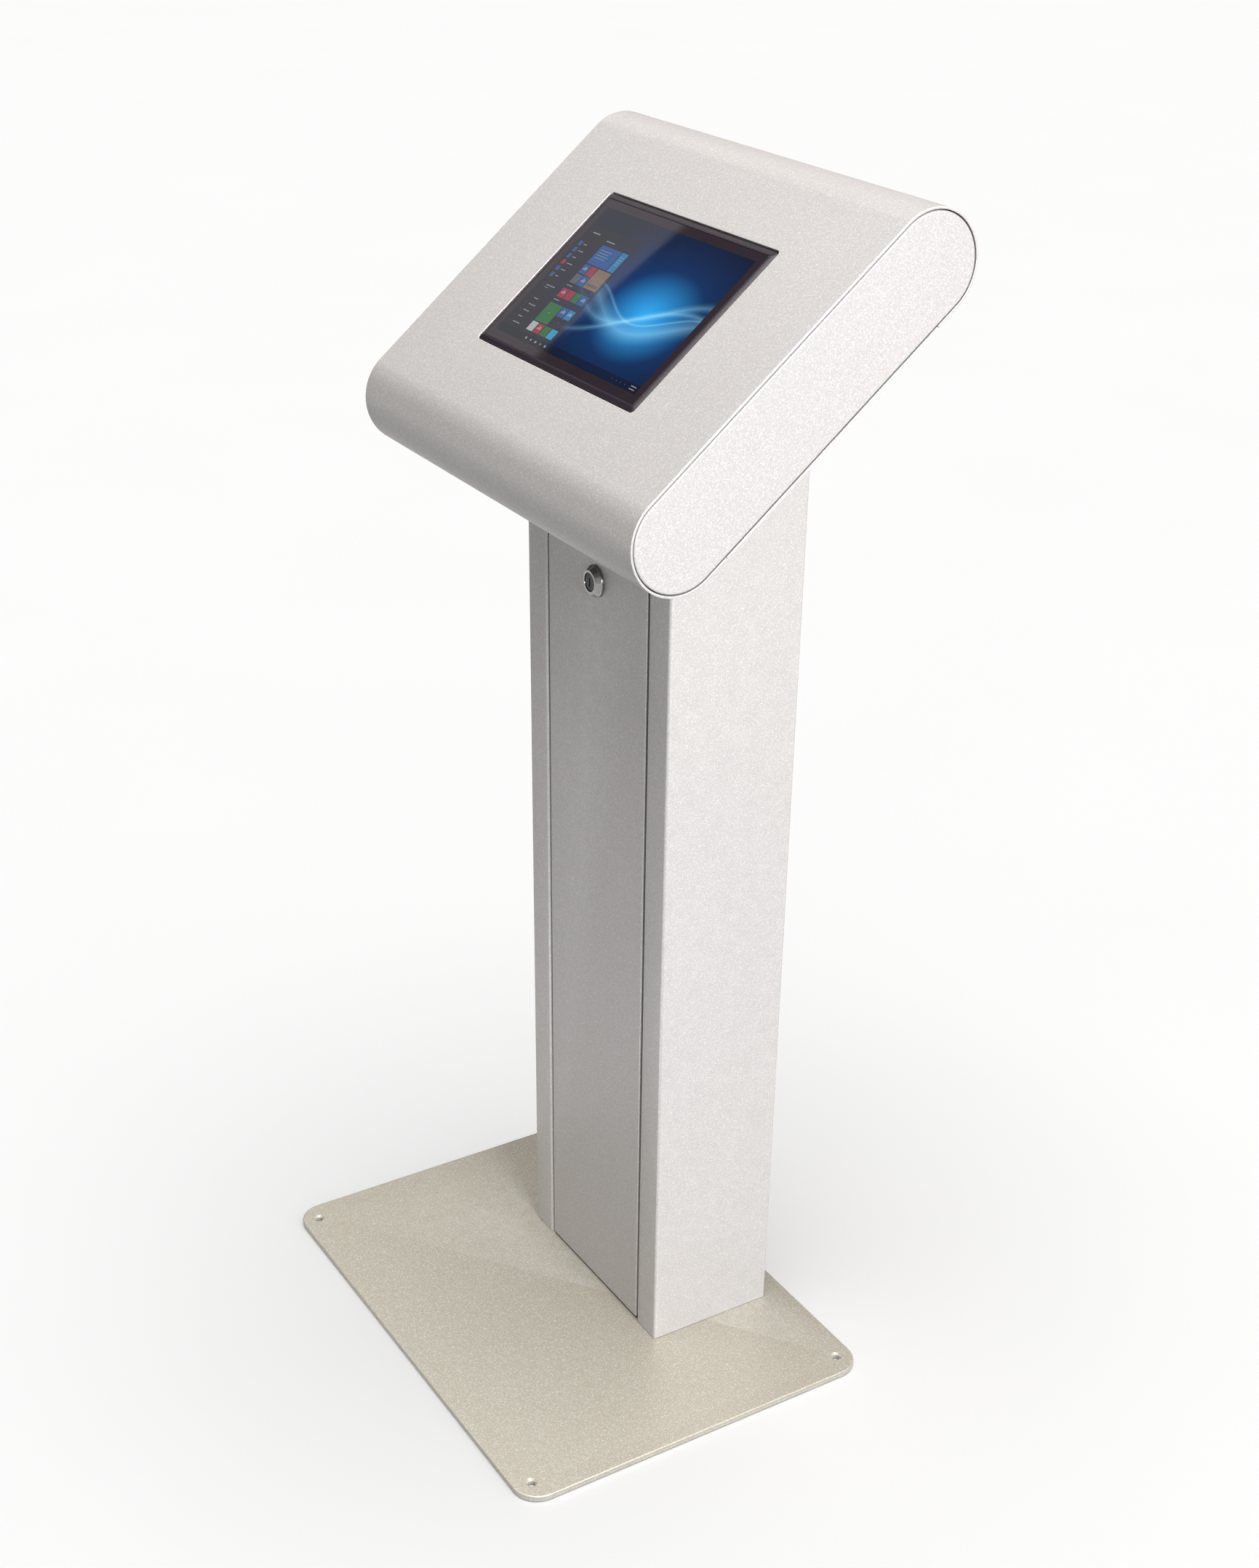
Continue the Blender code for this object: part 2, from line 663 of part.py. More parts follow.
# ---------------------------------------------------------------- cam lock
def make_lock(finish, pivot, turn):
    front = DOOR_FRONT - FIT  # the bezel's back face
    nose = front - LOCK_PROUD
    rear = DOOR_FRONT + 0.0200
    spot = (0.0, LOCK_Z)
    mouth = LOCK_BORE_R + 0.0009
    profile = [
        (LOCK_BEZEL_R, front), (LOCK_BEZEL_R, front - 0.0018), (LOCK_BEZEL_R - 0.0004, front - 0.0023),
        (LOCK_NOSE_R + 0.0005, nose + 0.0004), (LOCK_NOSE_R, nose), (mouth, nose),
        (mouth, nose + 0.0030), (LOCK_BORE_R, nose + 0.0030), (LOCK_BORE_R, rear),
        (LOCK_BARREL_R, rear), (LOCK_BARREL_R, front),
    ]
    add_moving("lock_body", turned(profile, "y", spot, 32), finish["chrome"], pivot, smooth=True)

    nut_front = DOOR_FRONT + DOOR_SHEET + FIT
    nut_rear = nut_front + LOCK_NUT_THICK
    nut = turned(rod_profile(LOCK_BEZEL_R, nut_front, nut_rear), "y", spot, sides=6)
    made = add_moving("lock_nut", nut, finish["zinc"], pivot)
    bore = turned(rod_profile(LOCK_BARREL_R + FIT, nut_front - PAST, nut_rear + PAST), "y", spot)
    shift(bore, pivot)
    combine(made, bore)

    cam_front = HEADER_LEG_Y + HEADER_SHEET / 2 + 0.0008
    cam_rear = cam_front + CAM_THICK
    shank = LOCK_BORE_R - FIT
    thread = CAM_SCREW_R + FIT
    plug = [
        (0.0, nose + 0.0006), (0.0074, nose + 0.0006), (0.0075, nose + 0.0024),
        (shank, nose + 0.0027), (shank, rear + 0.0010), (0.0048, rear + 0.0010),
        (0.0048, cam_front - FIT), (CAM_STUD_R, cam_front - FIT), (CAM_STUD_R, cam_rear - FIT),
        (thread, cam_rear - FIT), (thread, cam_rear - 0.008), (0.0, cam_rear - 0.008),
    ]
    made = add_moving("lock_plug", turned(plug, "y", spot), finish["black_metal"], turn, smooth=True)
    keyway = box((-0.0009, nose - 0.001, LOCK_Z - 0.0040), (0.0009, nose + 0.0050, LOCK_Z + 0.0034))
    shift(keyway, turn)
    combine(made, keyway)

    half = CAM_WIDTH / 2
    outline = arc((0.0, LOCK_Z), 0.0085, 64.0, -64.0, 8)
    outline += [(-CAM_REACH + half, LOCK_Z - half)]
    outline += arc((-CAM_REACH + half, LOCK_Z), half, 270.0, 90.0, 8)[1:]
    cam = add_moving("lock_cam", prism(outline, "y", cam_front, cam_rear), finish["zinc"], turn)
    bore = turned(rod_profile(CAM_STUD_R + FIT, cam_front - PAST, cam_rear + PAST), "y", spot)
    shift(bore, turn)
    combine(cam, bore)

    seat = cam_rear + FIT
    screw = [
        (0.0, cam_rear - 0.006), (CAM_SCREW_R, cam_rear - 0.006), (CAM_SCREW_R, seat),
        (0.0052, seat), (0.0052, seat + 0.0016), (0.0040, seat + 0.0026), (0.0, seat + 0.0026),
    ]
    add_moving("cam_screw", turned(screw, "y", spot), finish["zinc"], turn, smooth=True)


# ---------------------------------------------------------------- head casing
def head_bolt_places():
    return [(x, u) for x in (-HEAD_BOLT_X, HEAD_BOLT_X) for u in (-HEAD_BOLT_U, HEAD_BOLT_U)]


def panel_screw_places():
    return [(x, u) for x in (-PANEL_SCREW_X, PANEL_SCREW_X) for u in (-PANEL_SCREW_U, PANEL_SCREW_U)]


def cap_screw_places():
    return [(x, u) for x in (-CAP_SCREW_X, CAP_SCREW_X) for u in (-CAP_SCREW_U, CAP_SCREW_U)]


def make_head_wrap(finish, head):
    """One rolled sheet: the cover, both rolls and a short return under each."""
    outer = []
    inner = []
    for ring, radius in ((outer, HEAD_ROLL_R), (inner, HEAD_IN)):
        ring.append((-HEAD_RETURN_U, -radius))
        ring += arc((-HEAD_ROLL_U, 0.0), radius, 270, 90, 32)
        ring += arc((HEAD_ROLL_U, 0.0), radius, 90, -90, 32)
        ring.append((HEAD_RETURN_U, -radius))
    build = prism(outer + inner[::-1], "x", -HEAD_HALF_WIDTH, HEAD_HALF_WIDTH)
    wrap = add_object("head_wrap", build, finish["powder_coat"], parent=head, smooth=True)
    outline = rounded_rectangle(
        SCREEN_HALF_X + CUTOUT_GAP, SCREEN_HALF_U + CUTOUT_GAP, SCREEN_CORNER + CUTOUT_GAP, 4
    )
    combine(wrap, prism(outline, "z", HEAD_IN - PAST, HEAD_ROLL_R + PAST))


def make_head_underside(finish, head, top_plate):
    """The flush bottom panel, the strips it is screwed to, and the plates that meet the column."""
    outer = -HEAD_ROLL_R
    inner = -HEAD_IN
    half_u = HEAD_RETURN_U - 0.0005  # a seam shows on each side of the panel
    low = (-HEAD_HALF_WIDTH, -half_u, outer)
    high = (HEAD_HALF_WIDTH, half_u, inner)
    panel = add_object("head_bottom_panel", box(low, high), finish["powder_coat"], parent=head)

    strips = []
    for name, side in (("panel_strip_front", -1), ("panel_strip_rear", 1)):
        near, far = sorted((side * STRIP_INNER_U, side * STRIP_OUTER_U))
        build = box(
            (-STRIP_HALF_X, near, inner + FIT), (STRIP_HALF_X, far, inner + FIT + STRIP_THICK)
        )
        strips.append(add_object(name, build, finish["zinc"], parent=head))

    mount_low = inner + FIT
    mount_high = mount_low + MOUNT_THICK
    build = box((-MOUNT_HALF_X, -MOUNT_HALF_U, mount_low), (MOUNT_HALF_X, MOUNT_HALF_U, mount_high))
    mount = add_object("head_mount_plate", build, finish["zinc"], parent=head)

    cuts = bmesh.new()
    under = outer - PAST
    above = inner + PAST
    sink = [
        (0.0, under), (SMALL_SINK_R, under), (SMALL_SINK_R, outer), (SMALL_HOLE_R, inner),
        (SMALL_HOLE_R, above), (0.0, above),
    ]
    for place in panel_screw_places() + cap_screw_places():
        add_turned(cuts, sink, "z", place, SCREW_ROUND)
    for place in head_bolt_places():
        add_turned(cuts, rod_profile(HEAD_BOLT_HOLE_R, under, above), "z", place, SCREW_ROUND)
    add_turned(cuts, rod_profile(CABLE_HOLE_R, under, above), "z", (0.0, 0.0))
    for side in (-1, 1):
        for slot in range(SLOT_COUNT):
            x = side * (SLOT_X + SLOT_PITCH * slot)
            add_box(
                cuts, (x - SLOT_HALF_X, -SLOT_HALF_U, under), (x + SLOT_HALF_X, SLOT_HALF_U, above)
            )
    combine(panel, cuts)

    strip_top = inner + FIT + STRIP_THICK
    for strip in strips:
        holes = bmesh.new()
        for place in panel_screw_places():
            hole = rod_profile(SMALL_HOLE_R, inner - PAST, strip_top + PAST)
            add_turned(holes, hole, "z", place, SCREW_ROUND)
        combine(strip, holes)

    top_plate_low = outer - 2 * FIT - TOP_PLATE_THICK
    for plate, low, high in (
        (mount, mount_low - PAST, mount_high + PAST),
        (top_plate, top_plate_low - PAST, outer + PAST),
    ):
        holes = bmesh.new()
        for place in head_bolt_places():
            add_turned(holes, rod_profile(HEAD_BOLT_HOLE_R, low, high), "z", place, SCREW_ROUND)
        add_turned(holes, rod_profile(CABLE_HOLE_R, low, high), "z", (0.0, 0.0))
        if plate is top_plate:
            bmesh.ops.transform(holes, matrix=head_matrix(), verts=holes.verts[:])
        combine(plate, holes)

    for stem, places in (("panel_screw", panel_screw_places()), ("cap_screw", cap_screw_places())):
        for number, place in enumerate(places, start=1):
            add_sunk_screw(f"{stem}_{number}", place, outer, inner + 0.0045, finish, head)

    seat = top_plate_low - FIT
    bolt_top = mount_high + 0.0015
    washer = [
        (0.0, seat - 0.0012), (0.0062, seat - 0.0012), (0.0062, seat), (HEAD_BOLT_R, seat),
        (HEAD_BOLT_R, bolt_top), (0.0, bolt_top),
    ]
    for number, place in enumerate(head_bolt_places(), start=1):
        build = turned(washer, "z", place, SCREW_ROUND)
        bolt = add_object(f"head_bolt_{number}", build, finish["zinc"], parent=head, smooth=True)
        hexagon = turned(rod_profile(0.0057, seat - 0.0050, seat - 0.0006), "z", place, sides=6)
        combine(bolt, hexagon, "UNION")

    lower = seat - 0.0016
    upper = mount_high + 0.0019
    neck = CABLE_HOLE_R - 0.0004
    rim = mount_high + FIT
    ring = [
        (0.0135, lower), (0.0230, lower), (0.0230, seat), (neck, seat), (neck, rim),
        (0.0225, rim), (0.0225, upper), (0.0135, upper),
    ]
    build = turned(ring, "z", (0.0, 0.0))
    add_object("cable_grommet", build, finish["rubber"], parent=head, smooth=True)


def head_matrix():
    return Matrix.Translation((0.0, HEAD_Y, HEAD_Z)) @ Matrix.Rotation(HEAD_TILT, 4, "X")


def add_sunk_screw(name, place, outer, end, finish, head):
    """A countersunk screw whose head lies flush with the underside."""
    crown = outer + 0.0001
    profile = [
        (0.0, crown), (SMALL_SCREW_HEAD_R, crown), (SMALL_SCREW_R, crown + 0.0020),
        (SMALL_SCREW_R, end), (0.0, end),
    ]
    build = turned(profile, "z", place, SCREW_ROUND)
    add_object(name, build, finish["zinc"], parent=head, smooth=True)


def make_end_caps(finish, head):
    """A dished cap in each end of the rolled sheet."""
    radius = HEAD_IN - 0.0008
    wall = 0.0015
    floor = 0.0025
    depth = 0.0145
    edge = 0.0016
    for name, side in (("end_cap_left", -1), ("end_cap_right", 1)):
        outline = stadium(HEAD_ROLL_U, radius, 32)
        rim = stadium(HEAD_ROLL_U, radius - edge, 32)
        inside = stadium(HEAD_ROLL_U, radius - wall, 32)
        face = side * HEAD_HALF_WIDTH
        rings = [
            (rim, face), (stadium(HEAD_ROLL_U, radius - edge * 0.29, 32), face - side * edge * 0.29),
            (outline, face - side * edge), (outline, face - side * depth),
            (inside, face - side * depth), (inside, face - side * floor),
        ]
        build = bmesh.new()
        loops = [[build.verts.new((x, a, b)) for a, b in ring] for ring, x in rings]
        count = len(outline)
        for one, two in zip(loops, loops[1:]):
            for i in range(count):
                j = (i + 1) % count
                build.faces.new((one[i], one[j], two[j], two[i]))
        build.faces.new(loops[0])
        build.faces.new(loops[-1][::-1])
        cap = add_object(name, build, finish["powder_coat"], parent=head, smooth=True)
        holes = bmesh.new()
        hole = rod_profile(0.0022, -radius - PAST, -radius + wall + PAST)
        for x, u in cap_screw_places():
            if x * side > 0:
                add_turned(holes, hole, "z", (x, u), SCREW_ROUND)
        combine(cap, holes)


# ---------------------------------------------------------------- screen and computer
def ring_build(outer, inner, low, high, outer_corner, inner_corner):
    """A rounded rectangular ring; outer and inner are (half_x, half_u)."""
    outside = rounded_rectangle(*outer, outer_corner, 4)
    inside = rounded_rectangle(*inner, inner_corner, 4)
    build = bmesh.new()
    loops = []
    for outline, height in ((outside, low), (outside, high), (inside, high), (inside, low)):
        loops.append([build.verts.new((a, b, height)) for a, b in outline])
    bridge_rings(build, loops + [loops[0]])
    return build


def bridge_rings(build, loops):
    count = len(loops[0])
    for one, two in zip(loops, loops[1:]):
        for i in range(count):
            j = (i + 1) % count
            build.faces.new((one[i], one[j], two[j], two[i]))


def make_screen(finish, head):
    back = HEAD_IN
    ledge = 0.0375
    build = ring_build((0.1375, 0.0975), (0.1228, 0.0826), PC_FRONT_N, back - FIT, 0.004, 0.003)
    frame = add_object("screen_frame", build, finish["zinc"], parent=head)
    shelf = ring_build((0.1240, 0.0838), (0.1130, 0.0730), PC_FRONT_N, ledge, 0.003, 0.003)
    combine(frame, shelf, "UNION")

    build = ring_build((0.1205, 0.0803), (0.1150, 0.0750), ledge + FIT, back - FIT, 0.003, 0.002)
    add_object("screen_gasket", build, finish["rubber"], parent=head)

    front = HEAD_ROLL_R + BEZEL_PROUD
    glass_x = SCREEN_HALF_X - BEZEL_FRAME
    glass_u = SCREEN_HALF_U - BEZEL_FRAME
    build = bmesh.new()
    loops = []
    for half_x, half_u, corner, height in (
        (SCREEN_HALF_X, SCREEN_HALF_U, SCREEN_CORNER, back),
        (SCREEN_HALF_X, SCREEN_HALF_U, SCREEN_CORNER, front - BEZEL_DROP),
        (SCREEN_HALF_X - BEZEL_RIM, SCREEN_HALF_U - BEZEL_RIM, 0.0015, front),
        (glass_x, glass_u, 0.0010, front),
        (glass_x, glass_u, 0.0010, back),
    ):
        outline = rounded_rectangle(half_x, half_u, corner, 4)
        loops.append([build.verts.new((a, b, height)) for a, b in outline])
    bridge_rings(build, loops + [loops[0]])
    add_object("screen_bezel", build, finish["bezel"], parent=head)

    outline = rounded_rectangle(glass_x - FIT, glass_u - FIT, 0.0010, 4)
    build = prism(outline, "z", back, front - 0.0001)
    add_object("touch_glass", build, finish["glass"], parent=head)

    half_x = PC_HALF_X + 0.0005
    half_u = PC_HALF_U + 0.0005
    build = box((-half_x, -half_u, PC_FRONT_N + FIT), (half_x, half_u, back - FIT))
    add_object("display_panel", build, finish["display"], parent=head)


def make_computer(finish, head, button_frame):
    low = (-PC_HALF_X, -PC_HALF_U, PC_BACK_N)
    high = (PC_HALF_X, PC_HALF_U, PC_FRONT_N)
    build = tray(low, high, PC_WALL, PC_WALL, "z", True)
    housing = add_object("pc_housing", build, finish["black_metal"], parent=head)
    cuts = bmesh.new()
    under = PC_BACK_N - PAST
    above = PC_BACK_N + PC_WALL + PAST
    add_turned(cuts, rod_profile(BUTTON_R + FIT, under, above), "z", (BUTTON_X, BUTTON_U))
    for row in range(6):
        u = -0.030 + 0.012 * row
        add_box(cuts, (-0.035, u - 0.002, under), (0.060, u + 0.002, above))
    combine(housing, cuts)

    board_low = 0.0100
    board_high = 0.0116
    board = box((-0.090, -0.045, board_low), (0.090, 0.045, board_high))
    made = add_object("mainboard", board, finish["circuit"], parent=head)
    parts = bmesh.new()
    for x, u, half_x, half_u, height in (
        (-0.070, 0.030, 0.012, 0.010, 0.011),
        (-0.030, 0.030, 0.016, 0.008, 0.006),
        (0.020, 0.000, 0.022, 0.022, 0.014),
        (0.068, 0.020, 0.010, 0.018, 0.005),
        (-0.055, -0.020, 0.030, 0.015, 0.004),
    ):
        add_box(
            parts,
            (x - half_x, u - half_u, board_low + 0.0008),
            (x + half_x, u + half_u, board_high + height),
        )
    combine(made, parts, "UNION")

    for name, side in (("pc_clamp_left", -1), ("pc_clamp_right", 1)):
        middle = [
            (side * 0.1330, 0.0334), (side * 0.1180, 0.0334), (side * 0.1180, 0.0038),
            (side * 0.0970, 0.0038),
        ]
        section = sheet_section(middle, 0.0015, 0.002)
        add_object(name, prism(section, "y", -0.040, 0.040), finish["zinc"], parent=head)

    collar = BUTTON_R + 0.0012
    profile = [
        (0.0, -0.0025), (BUTTON_R - 0.0004, -0.0025), (BUTTON_R, -0.0019), (BUTTON_R, 0.0020),
        (collar, 0.0020), (collar, 0.0034), (0.0, 0.0034),
    ]
    build = turned(profile, "z", (0.0, 0.0))
    add_object("pc_power_button", build, finish["black_plastic"], parent=button_frame, smooth=True)

    plug = [
        (0.0, -DC_PLUG_END), (0.0036, -DC_PLUG_END), (0.0046, -DC_PLUG_END + 0.0020),
        (0.0046, PC_BACK_N - FIT), (0.0, PC_BACK_N - FIT),
    ]
    build = turned(plug, "z", (DC_PLUG_X, DC_PLUG_U), SCREW_ROUND)
    add_object("dc_plug", build, finish["black_plastic"], parent=head, smooth=True)


# ---------------------------------------------------------------- power
def make_power_inlet(finish, rocker_axis):
    """A mains inlet with a rocker switch beside the socket, in the column's back."""
    wall = COLUMN_BACK
    outline = rounded_rectangle(INLET_HALF_X, INLET_HALF_Z, 0.004, 3)
    plate = [(INLET_X + a, INLET_Z + b) for a, b in outline]
    build = prism(plate, "y", wall + FIT, wall + 0.0025)
    inlet = add_object("power_inlet", build, finish["black_plastic"])
    body = box(
        (INLET_X - INLET_BODY_HALF_X, INLET_BODY_FRONT, INLET_Z - INLET_BODY_HALF_Z),
        (INLET_X + INLET_BODY_HALF_X, wall + 0.001, INLET_Z + INLET_BODY_HALF_Z),
    )
    combine(inlet, body, "UNION")
    outside = wall + 0.010
    socket_x = INLET_X - 0.008
    socket_floor = wall - 0.0125
    wells = bmesh.new()
    add_box(
        wells,
        (socket_x - 0.012, socket_floor, INLET_Z - 0.008), (socket_x + 0.012, outside, INLET_Z + 0.008),
    )
    add_box(
        wells,
        (ROCKER_X - 0.006, wall - 0.008, INLET_Z - 0.010), (ROCKER_X + 0.006, outside, INLET_Z + 0.010),
    )
    combine(inlet, wells)
    pins = bmesh.new()
    for x, z in ((socket_x - 0.007, -0.0015), (socket_x, 0.0020), (socket_x + 0.007, -0.0015)):
        add_box(
            pins,
            (x - 0.001, socket_floor - 0.0015, INLET_Z + z - 0.002),
            (x + 0.001, socket_floor + 0.009, INLET_Z + z + 0.002),
        )
    combine(inlet, pins, "UNION")

    section = [
        (0.0021, -0.0088), (0.0009, 0.0), (0.0021, 0.0088), (-0.0012, 0.0088),
        (-0.0046, 0.0035), (-0.0046, -0.0035), (-0.0012, -0.0088),
    ]
    turn = Matrix.Rotation(ROCKER_TILT, 2)
    tilted = [tuple(turn @ Vector(point)) for point in section]
    build = prism(tilted, "x", -0.0056, 0.0056)
    add_object("mains_switch", build, finish["black_plastic"], parent=rocker_axis)


def make_power_supply(finish):
    low = (PSU_X - PSU_HALF_X, PSU_Y - PSU_HALF_Y, PSU_BOTTOM)
    high = (PSU_X + PSU_HALF_X, PSU_Y + PSU_HALF_Y, PSU_TOP)
    build = box(low, high)
    bmesh.ops.bevel(build, geom=build.edges[:], offset=0.003, segments=2, profile=0.5, affect="EDGES")
    add_object("power_supply", build, finish["black_plastic"], smooth=True)
    side = PSU_HALF_X + STRAP_PLAY + STRAP_SHEET / 2
    top = PSU_Y - PSU_HALF_Y - STRAP_PLAY - STRAP_SHEET / 2
    foot = COLUMN_BACK - COLUMN_SHEET - FIT - STRAP_SHEET / 2
    middle = [
        (PSU_X - side - STRAP_FOOT, foot), (PSU_X - side, foot), (PSU_X - side, top),
        (PSU_X + side, top), (PSU_X + side, foot), (PSU_X + side + STRAP_FOOT, foot),
    ]
    section = sheet_section(middle, STRAP_SHEET, STRAP_BEND, 3)
    build = prism(section, "z", STRAP_BOTTOM, STRAP_TOP)
    add_object("power_supply_strap", build, finish["zinc"])


def make_cables(finish):
    route = [
        (0.052, INLET_BODY_FRONT - FIT, 0.070), (0.052, 0.114, 0.071), (0.044, 0.096, 0.075),
        (0.024, 0.088, 0.078), (0.000, 0.088, 0.082), (-0.024, 0.094, 0.094), (-0.040, 0.112, 0.120),
        (PSU_X, 0.130, 0.146), (PSU_X, PSU_Y, 0.165), (PSU_X, PSU_Y, PSU_BOTTOM - FIT),
    ]
    add_cable("mains_lead", route, MAINS_LEAD_R, finish["rubber"])
    route = [
        (PSU_X, PSU_Y, PSU_TOP + FIT), (PSU_X, PSU_Y, 0.360), (PSU_X, 0.147, 0.410),
        (PSU_X, DC_CABLE_Y, 0.480), (PSU_X, DC_CABLE_Y, 0.600), (PSU_X, DC_CABLE_Y, 0.720),
        (-0.042, 0.1470, 0.790), (-0.026, 0.1370, 0.845), (-0.007, 0.1210, 0.882),
        head_point(0.0, 0.0, -0.042), head_point(-0.004, 0.001, -0.032),
        head_point(-0.016, 0.005, -0.0235), head_point(-0.034, 0.011, -0.0215),
        head_point(-0.050, 0.0165, -0.0205), head_point(DC_PLUG_X + 0.0020, DC_PLUG_U, -0.0160),
        head_point(DC_PLUG_X, DC_PLUG_U, -0.0120), head_point(DC_PLUG_X, DC_PLUG_U, -DC_PLUG_END - FIT),
    ]
    add_cable("dc_cable", route, DC_CABLE_R, finish["rubber"])
    wall = COLUMN_BACK - COLUMN_SHEET - FIT
    outer_foot = 0.0047
    inner_foot = 0.0029
    centre = (PSU_X, DC_CABLE_Y)
    outline = [(PSU_X + outer_foot, wall)] + arc(centre, CLIP_R, 20, -200, 10)
    outline += [(PSU_X - outer_foot, wall), (PSU_X - inner_foot, wall - 0.001)]
    outline += arc(centre, CLIP_BORE_R, -200, 20, 10) + [(PSU_X + inner_foot, wall - 0.001)]
    for name, z in CLIP_HEIGHTS:
        build = prism(outline, "z", z - CLIP_HALF_Z, z + CLIP_HALF_Z)
        add_object(name, build, finish["black_plastic"])


# ---------------------------------------------------------------- the whole kiosk
def build_kiosk():
    clear_scene()
    finish = make_materials()
    head = add_empty("head_frame", (0.0, HEAD_Y, HEAD_Z), (HEAD_TILT, 0.0, 0.0))
    pivot = add_empty("door_pivot", (0.0, DOOR_PIVOT_Y, DOOR_PIVOT_Z))
    turn = add_empty("lock_axis", (0.0, DOOR_FRONT, LOCK_Z))
    rocker = add_empty("rocker_axis", (ROCKER_X, ROCKER_Y, INLET_Z))
    button = add_empty(
        "button_axis", head_point(BUTTON_X, BUTTON_U, PC_BACK_N), (HEAD_TILT, 0.0, 0.0)
    )

    make_base_plate(finish)
    make_column_foot(finish)
    make_column_shell(finish)
    make_column_header(finish)
    top_plate = make_column_top_plate(finish)
    make_door(finish, pivot)
    make_lock(finish, pivot, turn)
    make_head_wrap(finish, head)
    make_head_underside(finish, head, top_plate)
    make_end_caps(finish, head)
    make_screen(finish, head)
    make_computer(finish, head, button)
    make_power_inlet(finish, rocker)
    make_power_supply(finish)
    make_cables(finish)


build_kiosk()
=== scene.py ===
"""The looks of the touchscreen kiosk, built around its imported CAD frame.

Metres, +Z up, in the frame of the CAD model. The head's pieces are drawn in the head's own
sloping frame: x across, u up the slope and n out of the screen.
"""

import json
import math

import bmesh
import bpy
from mathutils import Matrix, Vector

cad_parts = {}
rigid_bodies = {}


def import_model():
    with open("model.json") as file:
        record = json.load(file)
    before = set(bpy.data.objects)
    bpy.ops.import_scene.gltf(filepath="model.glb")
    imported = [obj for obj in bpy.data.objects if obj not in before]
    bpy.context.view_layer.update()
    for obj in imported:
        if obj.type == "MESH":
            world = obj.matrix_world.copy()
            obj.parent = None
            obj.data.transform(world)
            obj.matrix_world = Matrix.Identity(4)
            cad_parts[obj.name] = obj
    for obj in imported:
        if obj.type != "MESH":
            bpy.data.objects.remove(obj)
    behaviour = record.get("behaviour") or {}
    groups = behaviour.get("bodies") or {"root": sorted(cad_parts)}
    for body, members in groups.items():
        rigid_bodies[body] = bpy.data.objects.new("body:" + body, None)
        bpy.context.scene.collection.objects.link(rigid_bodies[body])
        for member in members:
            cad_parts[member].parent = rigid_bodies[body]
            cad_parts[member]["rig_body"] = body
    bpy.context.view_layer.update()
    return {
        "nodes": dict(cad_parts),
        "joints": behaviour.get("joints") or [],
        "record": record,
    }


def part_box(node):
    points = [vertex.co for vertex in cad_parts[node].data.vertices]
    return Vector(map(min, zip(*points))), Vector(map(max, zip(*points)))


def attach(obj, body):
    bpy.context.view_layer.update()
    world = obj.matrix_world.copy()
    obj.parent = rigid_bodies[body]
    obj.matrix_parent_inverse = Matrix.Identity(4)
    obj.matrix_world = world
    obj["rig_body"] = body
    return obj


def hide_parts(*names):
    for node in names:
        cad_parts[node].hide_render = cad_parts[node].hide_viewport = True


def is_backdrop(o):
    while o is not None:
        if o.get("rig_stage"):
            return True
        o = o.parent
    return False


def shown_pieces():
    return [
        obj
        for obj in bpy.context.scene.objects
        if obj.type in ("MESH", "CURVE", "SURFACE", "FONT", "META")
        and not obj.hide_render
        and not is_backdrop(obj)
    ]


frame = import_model()

# ------------------------ sizes that the frame doesn't state
FIT = 0.0003  # gap between touching parts
PAST = 0.001  # how far a cutter reaches past what it cuts
SHEET_EDGE = 0.00035  # round on the cut edge of a sheet

PLATE_CORNER = 0.025
PLATE_EDGE = 0.0012
PLATE_UNDER = 0.0004  # chamfer round the plate's underside
ANCHOR_INSET_X = 0.022
ANCHOR_INSET_Y = 0.017
ANCHOR_HOLE_R = 0.0035
ANCHOR_SINK_R = 0.0053
ANCHOR_SINK_DEPTH = 0.0018
ANCHOR_CROWN = 0.0003  # chamfer round the rim of each countersink
FOOT_HOLE_R = 0.0043

COLUMN_SHEET = 0.002
COLUMN_BEND = 0.003
LIP_DEPTH = 0.020
PIVOT_HOLE_R = 0.0028
INLET_HALF_X = 0.024
INLET_HALF_Z = 0.014
VENT_ROWS = 5
VENT_BOTTOM = 0.800
VENT_HALF_X = 0.045
VENT_PITCH = 0.012
VENT_HEIGHT = 0.0045
HEADER_SHEET = 0.002
HEADER_BEND = 0.002
HEADER_BOTTOM = 0.803

DOOR_SHEET = 0.0015
DOOR_BEND = 0.0014
DOOR_CORNER = 0.0016
DOOR_RIM = 0.0003  # chamfer round the rim of the door's tray
DOOR_INNER_BEND = 0.0006
LOCK_HOLE_R = 0.0098
LOCK_THREAD_TURNS = 18
KEYWAY_HALF_X = 0.0009
KEYWAY_HALF_Z = 0.0037
KEYWAY_DEPTH = 0.0045

SEAM = 0.0005  # gap between the rolled sheet and the head's underside
COVER_EDGE = 0.0006  # round on the edges of the rolled sheet
CUTOUT_GAP = 0.00075
CUTOUT_TOP = 0.0016  # the wider gap above the screen
CAP_EDGE = 0.0016
CAP_WALL = 0.0015
CAP_FLOOR = 0.0025
CAP_HOLE_R = 0.0022
PANEL_SINK_R = 0.0044
PANEL_HOLE_R = 0.0023
HEAD_BOLT_HOLE_R = 0.0033
CABLE_HOLE_R = 0.020
SLOT_COUNT = 5
SLOT_START_X = 0.140
SLOT_PITCH = 0.012
SLOT_HALF_X = 0.0022
SLOT_HALF_U = 0.040

SCREEN_CORNER = 0.003
BEZEL_RIM = 0.004
BEZEL_DROP = 0.0012
BEZEL_FRAME = 0.005
GLASS_CORNER = 0.0010
GLASS_EDGE = 0.00015
LIT_HALF_X = 0.1085
LIT_HALF_U = 0.0680

FINE = 64  # sides of a round piece that shows
HOLE_SIDES = 32
ROUND_ANGLE = 40.0  # edges sharper than this are rounded

